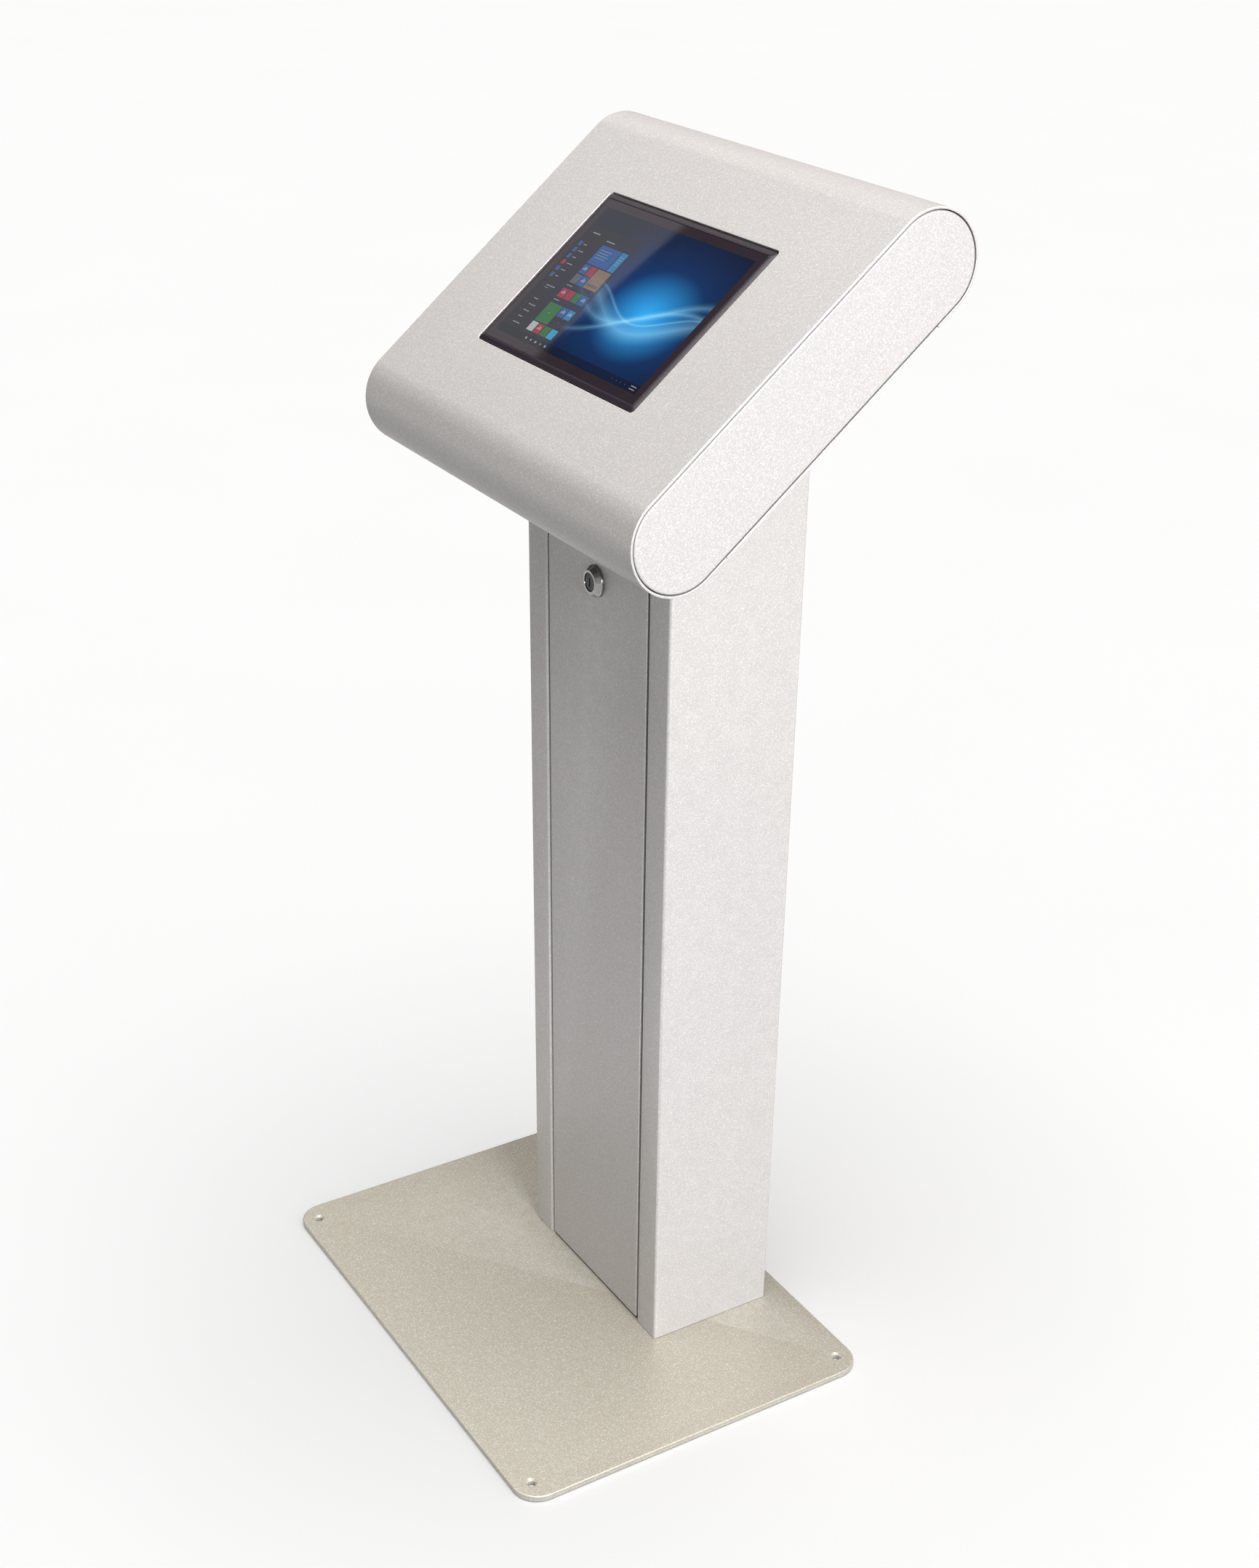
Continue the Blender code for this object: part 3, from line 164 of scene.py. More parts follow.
# ------------------------ light
WORLD_TINT = (1.0, 0.94, 0.92)
WORLD_LEAN = (0.80, 0.45, 0.15)  # points to the brighter side of the room
WORLD_START = -0.7  # how far along the lean the room starts to brighten
WORLD_DIM = 0.03
WORLD_BRIGHT = 1.10
# place, aim, size, watts, tint
KEY_LIGHT = ((3.2, -0.15, 1.9), (0.0, 0.05, 0.80), (1.5, 1.5), 235.0, (0.985, 1.0, 1.01))
TOP_LIGHT = ((0.10, -0.55, 4.6), (0.0, 0.0, 0.9), (2.6, 2.6), 302.0, (1.0, 0.98, 0.95))
LOW_LIGHT = ((0.0, -0.44, 0.05), (0.0, 0.0, 0.08), (0.6, 0.06), 0.7, (1.0, 1.0, 1.0))
SIDE_CARD = ((-2.45, 0.147, 2.2), (-2.45, 0.147, 0.0), (2.0, 1.2), 4.4, (1.0, 1.0, 1.0))
SIDE_CARD_TURN = math.radians(37.6)
FLOOR_POWER = 2.30
FLOOR_TINT = (0.965, 1.0, 1.01)
FLOOR_SPREAD = math.radians(60.0)

# ------------------------ camera
CAMERA_PLACE = (1.489064, -0.847780, 1.375150)
CAMERA_HEADING = math.radians(56.384)
CAMERA_PITCH = math.radians(-31.830)
CAMERA_ROLL = math.radians(1.829)
CAMERA_LENS = 49.632
CAMERA_SENSOR = 36.0
CAMERA_SHIFT = (-0.040895, 0.155624)


def add_camera():
    data = bpy.data.cameras.new("camera")
    data.lens = CAMERA_LENS
    data.sensor_width = CAMERA_SENSOR
    data.shift_x, data.shift_y = CAMERA_SHIFT
    made = bpy.data.objects.new("camera", data)
    turn = Matrix.Rotation(CAMERA_HEADING, 4, "Z")
    turn = turn @ Matrix.Rotation(math.radians(90) + CAMERA_PITCH, 4, "X")
    turn = turn @ Matrix.Rotation(CAMERA_ROLL, 4, "Z")
    made.matrix_world = Matrix.Translation(CAMERA_PLACE) @ turn
    bpy.context.scene.collection.objects.link(made)
    bpy.context.scene.camera = made


# ------------------------ the head's sloping frame
def joint(name):
    return next(item for item in frame["joints"] if item["name"] == name)


def head_frame():
    axis = joint("pc_button_press")["axis"]
    tilt = math.atan2(-axis[1], axis[2])
    low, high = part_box("head_wrap")
    return Matrix.Translation((low + high) / 2) @ Matrix.Rotation(tilt, 4, "X")


HEAD = head_frame()


def slope_box(node):
    """A node's lowest and highest (x, u, n)."""
    inverse = HEAD.inverted()
    points = [inverse @ vert.co for vert in frame["nodes"][node].data.vertices]
    low = Vector([min(point[i] for point in points) for i in range(3)])
    high = Vector([max(point[i] for point in points) for i in range(3)])
    return low, high


def slope_height(y, n):
    """The height, at a given y, of the plane that lies n above the head's middle plane."""
    up = HEAD.to_3x3() @ Vector((0.0, 0.0, 1.0))
    on = HEAD @ Vector((0.0, 0.0, n))
    return on.z - up.y * (y - on.y) / up.z


# ------------------------ outlines
def arc(centre, radius, start, end, steps):
    points = []
    for i in range(steps + 1):
        angle = math.radians(start + (end - start) * i / steps)
        points.append((centre[0] + radius * math.cos(angle), centre[1] + radius * math.sin(angle)))
    return points


def rounded_rectangle(half_a, half_b, radius, steps=10, centre=(0.0, 0.0)):
    points = []
    for turn, (side_a, side_b) in enumerate(((1, 1), (-1, 1), (-1, -1), (1, -1))):
        corner = (centre[0] + side_a * (half_a - radius), centre[1] + side_b * (half_b - radius))
        points += arc(corner, radius, 90 * turn, 90 * turn + 90, steps)
    return points


def quarter(radius, steps):
    """How far in and how far down each step of a quarter round lies, from its face to its side."""
    angles = [math.radians(90 * step / steps) for step in range(steps + 1)]
    return [(radius * (1 - math.sin(angle)), radius * (1 - math.cos(angle))) for angle in angles]


def stadium(half_length, radius, steps=FINE):
    near = arc((half_length, 0.0), radius, -90, 90, steps)
    return near + arc((-half_length, 0.0), radius, 90, 270, steps)


def rounded_path(points, radius, steps=8):
    """A polyline with each inner corner turned into an arc, with the normal at each point."""
    path = []
    for i, point in enumerate(points):
        here = Vector(point)
        if i in (0, len(points) - 1):
            along = Vector(points[1]) - here if i == 0 else here - Vector(points[-2])
            along.normalize()
            path.append((here, Vector((-along.y, along.x))))
            continue
        before = (here - Vector(points[i - 1])).normalized()
        after = (Vector(points[i + 1]) - here).normalized()
        side = 1.0 if before.cross(after) > 0 else -1.0
        bend = math.acos(max(-1.0, min(1.0, before.dot(after))))
        normal = Vector((-before.y, before.x)) * side
        centre = here - before * radius * math.tan(bend / 2) + normal * radius
        for k in range(steps + 1):
            spoke = -normal
            spoke.rotate(Matrix.Rotation(side * bend * k / steps, 2))
            path.append((centre + spoke * radius, -spoke * side))
    return path


def sheet_section(points, thick, radius):
    path = rounded_path(points, radius)
    left = [tuple(here + normal * thick / 2) for here, normal in path]
    right = [tuple(here - normal * thick / 2) for here, normal in path]
    return left + right[::-1]


# ------------------------ meshes
def place(axis, a, b, height):
    return {"x": (height, a, b), "y": (a, height, b), "z": (a, b, height)}[axis]


def bridge(build, loops, closed=False):
    """Faces between each loop and the next; closed joins the last to the first, else caps both."""
    pairs = list(zip(loops, loops[1:]))
    if closed:
        pairs.append((loops[-1], loops[0]))
    for one, two in pairs:
        for i in range(len(one)):
            j = (i + 1) % len(one)
            build.faces.new((one[i], one[j], two[j], two[i]))
    if not closed:
        build.faces.new(loops[0][::-1])
        build.faces.new(loops[-1])


def loft(rings, axis, closed=False):
    """A solid through rings of (outline, height along the axis)."""
    build = bmesh.new()
    loops = [[build.verts.new(place(axis, a, b, height)) for a, b in outline] for outline, height in rings]
    bridge(build, loops, closed)
    bmesh.ops.recalc_face_normals(build, faces=build.faces[:])
    return build


def prism(outline, axis, low, high):
    return loft([(outline, low), (outline, high)], axis)


def circle(radius, sides, centre=(0.0, 0.0)):
    return arc(centre, radius, 0, 360 * (sides - 1) / sides, sides - 1)


def turned(profile, axis, centre, sides=FINE, closed=False):
    """A profile of (radius, height) turned about an axis. Its ends are flat faces unless closed."""
    return loft([(circle(radius, sides, centre), height) for radius, height in profile], axis, closed)


def bore(radius, low, high, axis, centre, sides=HOLE_SIDES):
    """A straight round cutter."""
    return turned([(radius, low), (radius, high)], axis, centre, sides)


def box(low, high):
    outline = [(low[0], low[1]), (high[0], low[1]), (high[0], high[1]), (low[0], high[1])]
    return prism(outline, "z", low[2], high[2])


def merge(*builds):
    """Several shapes as one bmesh."""
    whole = bmesh.new()
    for build in builds:
        mesh = bpy.data.meshes.new("part")
        build.to_mesh(mesh)
        build.free()
        whole.from_mesh(mesh)
        bpy.data.meshes.remove(mesh)
    return whole


def object_from(name, build, matrix=None):
    mesh = bpy.data.meshes.new(name)
    build.to_mesh(mesh)
    build.free()
    made = bpy.data.objects.new(name, mesh)
    if matrix is not None:
        made.matrix_world = matrix
    bpy.context.scene.collection.objects.link(made)
    return made


def cut(target, build):
    """Cuts a shape, drawn in the target's own frame, from the target for good."""
    tool = object_from("tool", build, target.matrix_world)
    step = target.modifiers.new("step", "BOOLEAN")
    step.operation = "DIFFERENCE"
    step.solver = "EXACT"
    step.object = tool
    bpy.context.view_layer.update()
    done = bpy.data.meshes.new_from_object(target.evaluated_get(bpy.context.evaluated_depsgraph_get()))
    target.modifiers.clear()
    old = target.data
    target.data = done
    done.name = target.name
    bpy.data.meshes.remove(old)
    bpy.data.objects.remove(tool)


def round_edges(obj, width, segments=2):
    """A small round on every sharp edge, with flat faces kept flat."""
    obj.data.shade_smooth()
    bevel = obj.modifiers.new("round", "BEVEL")
    bevel.width = width
    bevel.segments = segments
    bevel.limit_method = "ANGLE"
    bevel.angle_limit = math.radians(ROUND_ANGLE)
    bevel.miter_outer = "MITER_ARC"
    bevel.harden_normals = True


def smooth_turned(obj, angle=32.0):
    """Smooth shading that keeps sharp edges and leaves the broad faces flat."""
    obj.data.shade_smooth()
    obj.data.set_sharp_from_angle(angle=math.radians(angle))
    step = obj.modifiers.new("flat_faces", "WEIGHTED_NORMAL")
    step.mode = "FACE_AREA"
    step.weight = 100
    step.keep_sharp = True


def settle(obj):
    """Moves the object's place and turn into its mesh."""
    obj.data.transform(obj.matrix_world)
    obj.matrix_world = Matrix.Identity(4)
    return obj


def dress(obj, body, slot, finish, node):
    """Gives a piece the material of its slot and its body, and hides the CAD node that it stands for."""
    obj.data.materials.clear()
    obj.data.materials.append(finish[slot])
    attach(obj, body)
    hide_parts(node)


# ------------------------ node tools
class Nodes:
    """A node tree, with short calls for the nodes used here."""

    def __init__(self, tree):
        self.tree = tree

    def node(self, kind, values=None, **options):
        made = self.tree.nodes.new(kind)
        for key, value in options.items():
            setattr(made, key, value)
        for key, value in (values or {}).items():
            if isinstance(value, bpy.types.NodeSocket):
                self.tree.links.new(value, made.inputs[key])
            elif value is not None:
                made.inputs[key].default_value = value
        return made

    def math(self, operation, a, b=0.0, clamp=False):
        return self.node("ShaderNodeMath", {0: a, 1: b}, operation=operation, use_clamp=clamp).outputs[0]

    def vector(self, operation, a, b=(0.0, 0.0, 0.0)):
        made = self.node("ShaderNodeVectorMath", {0: a, 1: b}, operation=operation)
        return made.outputs["Value" if operation in ("LENGTH", "DOT_PRODUCT") else "Vector"]

    def span(self, value, low, high, to_low=0.0, to_high=1.0):
        values = {"Value": value, "From Min": low, "From Max": high, "To Min": to_low, "To Max": to_high}
        return self.node("ShaderNodeMapRange", values).outputs["Result"]

    def mix(self, amount, a, b):
        values = {0: amount, 6: a if isinstance(a, bpy.types.NodeSocket) else (*a, 1.0),
                  7: b if isinstance(b, bpy.types.NodeSocket) else (*b, 1.0)}
        return self.node("ShaderNodeMix", values, data_type="RGBA").outputs[2]


class Finish(Nodes):
    """A material's nodes, painted over the object's own coordinates."""

    def __init__(self, name, settings):
        self.material = bpy.data.materials.new(name)
        self.material.use_nodes = True
        super().__init__(self.material.node_tree)
        self.shader = self.tree.nodes["Principled BSDF"]
        for socket, value in settings.items():
            self.shader.inputs[socket].default_value = value
        self.place = self.node("ShaderNodeTexCoord").outputs["Object"]

    def stretched(self, scale):
        return self.vector("MULTIPLY", self.place, scale)

    def noise(self, scale, detail=2.0, vector=None, roughness=0.5):
        values = {"Vector": vector or self.place, "Scale": scale, "Detail": detail, "Roughness": roughness}
        return self.node("ShaderNodeTexNoise", values).outputs["Fac"]

    def cells(self, scale, output="Distance"):
        values = {"Vector": self.place, "Scale": scale}
        return self.node("ShaderNodeTexVoronoi", values).outputs[output]

    def drift(self, value, low, high):
        """A noise turned into a value that drifts between two limits."""
        return self.span(value, 0.3, 0.7, low, high)

    def bump(self, height, distance, strength):
        values = {"Strength": strength, "Distance": distance, "Height": height}
        return self.node("ShaderNodeBump", values).outputs["Normal"]

    def worn(self, tone, amount, rubbed):
        """The tone with its convex edges rubbed, in patches, to another colour."""
        point = self.node("ShaderNodeNewGeometry").outputs["Pointiness"]
        edges = self.math("MULTIPLY", self.span(point, 0.52, 0.62), self.noise(90.0, 4.0), clamp=True)
        return self.mix(self.math("MULTIPLY", edges, amount), tone, rubbed)

    def set(self, socket, value):
        self.tree.links.new(value, self.shader.inputs[socket])


# ------------------------ materials
def powder_coat(name, colour, shade):
    """Fine-textured metallic powder coat: flakes, a slight orange peel, drifting tone, pale edges."""
    made = Finish(name, {"Metallic": 0.35})
    tone = made.mix(made.span(made.noise(2.2), 0.35, 0.65), colour, shade)
    flakes = made.cells(1300.0, "Color")
    flake = made.math("POWER", made.node("ShaderNodeSeparateColor", {0: flakes}).outputs[0], 4.0)
    tone = made.mix(made.math("MULTIPLY", flake, 0.22), tone, (0.90, 0.90, 0.89))
    specks = made.span(made.noise(700.0), 0.45, 0.75, 0.0, 0.14)
    tone = made.mix(specks, tone, [value * 0.6 for value in colour])
    tone = made.worn(tone, 0.5, (0.80, 0.80, 0.79))
    made.set("Base Color", tone)
    sheen = made.drift(made.noise(5.0, 3.0), 0.405, 0.44)
    made.set("Roughness", made.math("SUBTRACT", sheen, made.math("MULTIPLY", flake, 0.05)))
    made.set("Normal", made.bump(made.noise(520.0), 0.00012, 0.12))
    return made.material


def zinc_plate():
    """Bright zinc with faint spangle, rolling lines and dull patches."""
    made = Finish("zinc_finish", {"Metallic": 0.95})
    spangle = made.node("ShaderNodeSeparateColor", {0: made.cells(160.0, "Color")}).outputs[1]
    tone = made.mix(made.span(spangle, 0.0, 1.0, 0.0, 0.5), (0.60, 0.61, 0.62), (0.46, 0.48, 0.51))
    rolled = made.noise(60.0, 3.0, made.stretched((1.0, 1.0, 12.0)))
    tone = made.mix(made.span(rolled, 0.4, 0.7, 0.0, 0.3), tone, (0.72, 0.72, 0.70))
    tone = made.worn(tone, 0.5, (0.85, 0.85, 0.86))
    made.set("Base Color", tone)
    made.set("Roughness", made.drift(made.noise(40.0, 4.0), 0.24, 0.46))
    made.set("Normal", made.bump(made.noise(300.0, 3.0), 0.0001, 0.25))
    return made.material


def chrome_plate():
    """Polished chrome with hairline turning marks."""
    made = Finish("chrome_finish", {"Metallic": 1.0})
    hair = made.noise(700.0, 2.0, made.stretched((1.0, 4.0, 1.0)))
    made.set("Base Color", made.mix(hair, (0.26, 0.25, 0.26), (0.34, 0.33, 0.33)))
    made.set("Roughness", made.drift(made.noise(220.0, 3.0), 0.07, 0.16))
    made.set("Normal", made.bump(hair, 0.00003, 0.2))
    return made.material


def black_metal():
    """Satin black plated metal, worn to grey on its edges."""
    made = Finish("black_metal_finish", {"Metallic": 0.3})
    tone = made.mix(made.noise(180.0, 3.0), (0.010, 0.010, 0.012), (0.022, 0.022, 0.024))
    tone = made.worn(tone, 0.4, (0.16, 0.16, 0.17))
    made.set("Base Color", tone)
    made.set("Roughness", made.drift(made.noise(260.0, 3.0), 0.34, 0.52))
    made.set("Normal", made.bump(made.noise(900.0, 2.0), 0.00006, 0.3))
    return made.material


def black_plastic():
    """Spark-textured black moulding, paler where it is rubbed."""
    made = Finish("black_plastic_finish", {"Metallic": 0.0})
    tone = made.mix(made.noise(120.0, 3.0), (0.012, 0.012, 0.013), (0.024, 0.024, 0.026))
    tone = made.worn(tone, 0.5, (0.09, 0.09, 0.095))
    made.set("Base Color", tone)
    made.set("Roughness", made.drift(made.noise(60.0, 3.0), 0.42, 0.60))
    made.set("Normal", made.bump(made.cells(1500.0), 0.00008, 0.5))
    return made.material


def soft_rubber():
    """Matt black rubber with a little dust."""
    made = Finish("rubber_finish", {"Metallic": 0.0})
    dust = made.math("MULTIPLY", made.span(made.noise(45.0, 5.0), 0.50, 0.75), 0.5)
    made.set("Base Color", made.mix(dust, (0.013, 0.013, 0.014), (0.055, 0.053, 0.050)))
    made.set("Roughness", made.drift(made.noise(90.0, 3.0), 0.62, 0.85))
    made.set("Normal", made.bump(made.noise(800.0, 3.0), 0.0001, 0.4))
    return made.material


def bezel_paint():
    """The screen's matt aubergine-black frame."""
    made = Finish("bezel_finish", {"Metallic": 0.0, "Specular IOR Level": 0.32})
    tone = made.mix(made.noise(30.0, 3.0), (0.0135, 0.0100, 0.0140), (0.0170, 0.0130, 0.0175))
    tone = made.worn(tone, 0.35, (0.10, 0.10, 0.11))
    made.set("Base Color", tone)
    made.set("Roughness", made.drift(made.noise(50.0, 3.0), 0.26, 0.38))
    made.set("Normal", made.bump(made.noise(1200.0, 2.0), 0.00004, 0.3))
    return made.material


def circuit_board():
    """Green solder mask with copper tracks and pale pads."""
    made = Finish("circuit_finish", {"Metallic": 0.1})
    flat = made.node("ShaderNodeSeparateXYZ", {0: made.place})
    across = made.math("PINGPONG", made.math("MULTIPLY", flat.outputs[0], 260.0), 0.5)
    along = made.math("PINGPONG", made.math("MULTIPLY", flat.outputs[1], 260.0), 0.5)
    switch = made.math("GREATER_THAN", made.cells(40.0), 0.45)
    lines = made.node("ShaderNodeMix", {0: switch, 2: across, 3: along}).outputs[0]
    track = made.math("LESS_THAN", lines, 0.12)
    tone = made.mix(made.noise(50.0, 3.0), (0.012, 0.080, 0.035), (0.020, 0.120, 0.050))
    tone = made.mix(made.math("MULTIPLY", track, 0.55), tone, (0.10, 0.30, 0.12))
    pads = made.math("LESS_THAN", made.cells(420.0), 0.22)
    tone = made.mix(made.math("MULTIPLY", pads, 0.7), tone, (0.75, 0.70, 0.55))
    made.set("Base Color", tone)
    made.set("Roughness", made.drift(made.noise(90.0, 3.0), 0.28, 0.45))
    made.set("Normal", made.bump(track, 0.00004, 0.6))
    return made.material


def dark_panel():
    """The back of the display module: brushed dark aluminium."""
    made = Finish("display_finish", {"Metallic": 0.7})
    brushed = made.noise(400.0, 3.0, made.stretched((0.05, 1.0, 1.0)))
    made.set("Base Color", made.mix(brushed, (0.10, 0.10, 0.11), (0.17, 0.17, 0.18)))
    made.set("Roughness", made.drift(brushed, 0.30, 0.48))
    made.set("Normal", made.bump(brushed, 0.00004, 0.3))
    return made.material


# ------------------------ the picture on the screen
BLUE = (0.012, 0.130, 0.440)
AZURE = (0.010, 0.300, 0.640)
CYAN = (0.020, 0.520, 0.860)
RED = (0.520, 0.018, 0.050)
GREEN = (0.012, 0.230, 0.030)
PALE = (0.700, 0.720, 0.740)
TAN = (0.360, 0.220, 0.130)
GREY = (0.160, 0.165, 0.180)
BLACK = (0.0015, 0.0015, 0.0020)
AMBER = (0.720, 0.360, 0.040)
DUSK = (0.0120, 0.0090, 0.0105)
MILLIMETRE = 0.001
LIT_WIDE = 2 * LIT_HALF_X / MILLIMETRE
LIT_TALL = 2 * LIT_HALF_U / MILLIMETRE
TASK_TALL = 7.6
PANEL_WIDE = 80.0
PANEL_TALL = 117.0
TILE_LEFT = 35.5
TILE_TOP = 104.0
TILE_PITCH = 10.4
TILE_GAP = 0.9
LIST_TOP = 95.0
LIST_PITCH = 6.9
LIST_ICON = 4.9
LOWER_TOP = 37.0
LOWER_PITCH = 6.4
LOWER_ROWS = 5
LABEL_LEFT = 11.5
LABEL_TALL = 1.3
TASK_LEFT = 44.0
TASK_PITCH = 7.6
TASK_ICON = 3.0
TRAY_LEFT = 180.0
TRAY_PITCH = 6.0
CLOCK_LEFT = 206.0
# column, row, columns wide, rows tall, colour
TILES = (
    (0, 0.0, 3, 2, BLUE), (3, 0.0, 1, 2, AZURE), (0, 2.0, 1, 1, BLUE), (1, 2.0, 1, 1, RED),
    (2, 2.0, 2, 2, TAN), (0, 3.0, 1, 1, GREY), (1, 3.0, 1, 1, BLUE), (0, 4.5, 1, 1, RED),
    (1, 4.5, 1, 1, RED), (2, 4.5, 1, 1, GREEN), (3, 4.5, 1, 1, BLUE), (0, 6.0, 2, 2, GREEN),
    (2, 6.0, 1, 1, BLUE), (3, 6.0, 1, 1, AZURE), (2, 7.0, 2, 1, BLACK), (0, 8.0, 1, 1, PALE),
    (1, 8.0, 1, 1, RED), (2, 8.0, 1, 1, GREEN), (3, 8.0, 1, 1, CYAN),
)
LIST_COLOURS = (BLUE, BLUE, BLUE, RED, BLUE, BLUE)
# column and row of each tile with a small chart on it
CHARTS = ((0, 2.0), (1, 3.0), (2, 6.0), (3, 6.0), (0, 4.5), (3, 4.5), (1, 8.0))
# height, swing, wave, start, thickness
RIBBONS = ((66.0, 22.0, 0.026, 1.9, 7.0), (50.0, 26.0, 0.021, 3.4, 5.0), (62.0, 12.0, 0.040, 5.2, 2.6))


def patch_group():
    """Node group: lays a rounded patch of one colour over the colour below it."""
    group = bpy.data.node_groups.new("patch", "ShaderNodeTree")
    sockets = {"Place": "Vector", "Centre": "Vector", "Half": "Vector", "Round": "Float", "Cover": "Float",
               "Under": "Color", "Colour": "Color"}
    for name, kind in sockets.items():
        group.interface.new_socket(name, in_out="INPUT", socket_type=f"NodeSocket{kind}")
    group.interface.new_socket("Result", in_out="OUTPUT", socket_type="NodeSocketColor")
    given = group.nodes.new("NodeGroupInput").outputs
    result = group.nodes.new("NodeGroupOutput").inputs
    made = Nodes(group)
    away = made.vector("ABSOLUTE", made.vector("SUBTRACT", given["Place"], given["Centre"]))
    past = made.vector("ADD", made.vector("SUBTRACT", away, given["Half"]), given["Round"])
    distance = made.vector("LENGTH", made.vector("MAXIMUM", past))
    inside = made.math("SUBTRACT", given["Round"], distance)
    cover = made.math("MULTIPLY", made.span(inside, -0.06, 0.06), given["Cover"])
    group.links.new(made.mix(cover, given["Under"], given["Colour"]), result["Result"])
    return group


class Picture:
    """A flat picture painted patch by patch, in millimetres from the lit area's lower left."""

    def __init__(self, made):
        self.made = made
        self.group = patch_group()
        corner = (LIT_WIDE / 2, LIT_TALL / 2, 0.0)
        flat = made.vector("MULTIPLY", made.place, (1 / MILLIMETRE, 1 / MILLIMETRE, 0.0))
        self.place = made.vector("ADD", flat, corner)
        parts = made.node("ShaderNodeSeparateXYZ", {0: self.place})
        self.across, self.up = parts.outputs[0], parts.outputs[1]
        self.colour = None

    def patch(self, left, bottom, wide, tall, colour, rounded=0.2, cover=1.0):
        made = self.made.node("ShaderNodeGroup", node_tree=self.group)
        values = {"Centre": (left + wide / 2, bottom + tall / 2, 0.0), "Half": (wide / 2, tall / 2, 0.0),
                  "Round": rounded, "Cover": cover, "Colour": (*colour, 1.0)}
        for socket, value in values.items():
            made.inputs[socket].default_value = value
        self.made.tree.links.new(self.place, made.inputs["Place"])
        self.made.tree.links.new(self.colour, made.inputs["Under"])
        self.colour = made.outputs["Result"]

    def disc(self, x, y, radius, colour, cover=1.0):
        self.patch(x - radius, y - radius, 2 * radius, 2 * radius, colour, radius, cover)

    def glow(self, x, y, wide, tall, power=2.0):
        """1 at a spot, fading to 0 at the edge of an ellipse."""
        away = self.made.vector("SUBTRACT", self.place, (x, y, 0.0))
        away = self.made.vector("MULTIPLY", away, (1 / wide, 1 / tall, 0.0))
        near = self.made.math("SUBTRACT", 1.0, self.made.vector("LENGTH", away), clamp=True)
        return self.made.math("POWER", near, power)

    def ribbon(self, height, swing, wave, start, thick):
        """A soft band of light along a sine wave."""
        values = {0: self.across, 1: wave, 2: start}
        phase = self.made.node("ShaderNodeMath", values, operation="MULTIPLY_ADD").outputs[0]
        line = self.made.math("MULTIPLY", self.made.math("SINE", phase), swing)
        off = self.made.math("SUBTRACT", self.made.math("SUBTRACT", self.up, height), line)
        off = self.made.math("DIVIDE", self.made.math("ABSOLUTE", off), thick)
        return self.made.math("POWER", self.made.math("SUBTRACT", 1.0, off, clamp=True), 2.0)


def paint_wallpaper(picture):
    """A blue glow crossed by ribbons of light."""
    made = picture.made
    wide = picture.glow(150.0, 62.0, 150.0, 100.0, 1.6)
    tone = made.mix(wide, (0.0010, 0.0045, 0.018), (0.002, 0.062, 0.260))
    core = picture.glow(156.0, 60.0, 62.0, 46.0, 1.3)
    tone = made.mix(core, tone, (0.030, 0.430, 0.950))
    lights = made.math("MULTIPLY", picture.ribbon(58.0, 17.0, 0.030, 0.4, 15.0), 0.50)
    for shape in RIBBONS:
        lights = made.math("ADD", lights, made.math("MULTIPLY", picture.ribbon(*shape), 0.45))
    reach = picture.glow(158.0, 60.0, 118.0, 84.0, 0.9)
    picture.colour = made.mix(made.math("MULTIPLY", lights, reach, clamp=True), tone, (0.28, 0.72, 1.0))


def paint_menu(picture):
    """A dark side panel with a short list and a board of coloured tiles."""
    picture.patch(0.0, TASK_TALL, PANEL_WIDE, PANEL_TALL - TASK_TALL, DUSK, 0.0)
    picture.disc(6.5, 110.5, 2.5, TAN)
    picture.patch(10.5, 109.7, 11.0, 1.5, PALE, 0.3, 0.55)
    picture.patch(TILE_LEFT, 106.6, 13.0, 1.4, PALE, 0.3, 0.55)
    for row, colour in enumerate(LIST_COLOURS):
        low = LIST_TOP - LIST_PITCH * row
        picture.patch(4.5, low, LIST_ICON, LIST_ICON, colour)
        picture.patch(12.0, low + 1.8, 5.0 + (row * 3) % 5, LABEL_TALL, PALE, 0.3, 0.5)
    picture.disc(6.8, 51.5, 2.3, TAN)
    picture.patch(LABEL_LEFT, 52.0, 14.0, LABEL_TALL, PALE, 0.3, 0.5)
    picture.patch(LABEL_LEFT, 49.6, 6.0, 1.1, PALE, 0.3, 0.35)
    for row in range(LOWER_ROWS):
        low = LOWER_TOP - LOWER_PITCH * row
        picture.disc(6.5, low + 0.9, 1.0, PALE, 0.8)
        picture.patch(LABEL_LEFT, low + 0.2, 7.0 + (row * 4) % 6, LABEL_TALL, PALE, 0.3, 0.5)
    for column, row, columns, rows, colour in TILES:
        left = TILE_LEFT + column * TILE_PITCH
        bottom = TILE_TOP - (row + rows) * TILE_PITCH
        wide, tall = columns * TILE_PITCH - TILE_GAP, rows * TILE_PITCH - TILE_GAP
        picture.patch(left, bottom, wide, tall, colour, 0.25)
    for row in (4.18, 5.68):
        picture.patch(TILE_LEFT, TILE_TOP - row * TILE_PITCH - 1.6, 9.0, 1.2, PALE, 0.3, 0.5)
    paint_glyphs(picture)


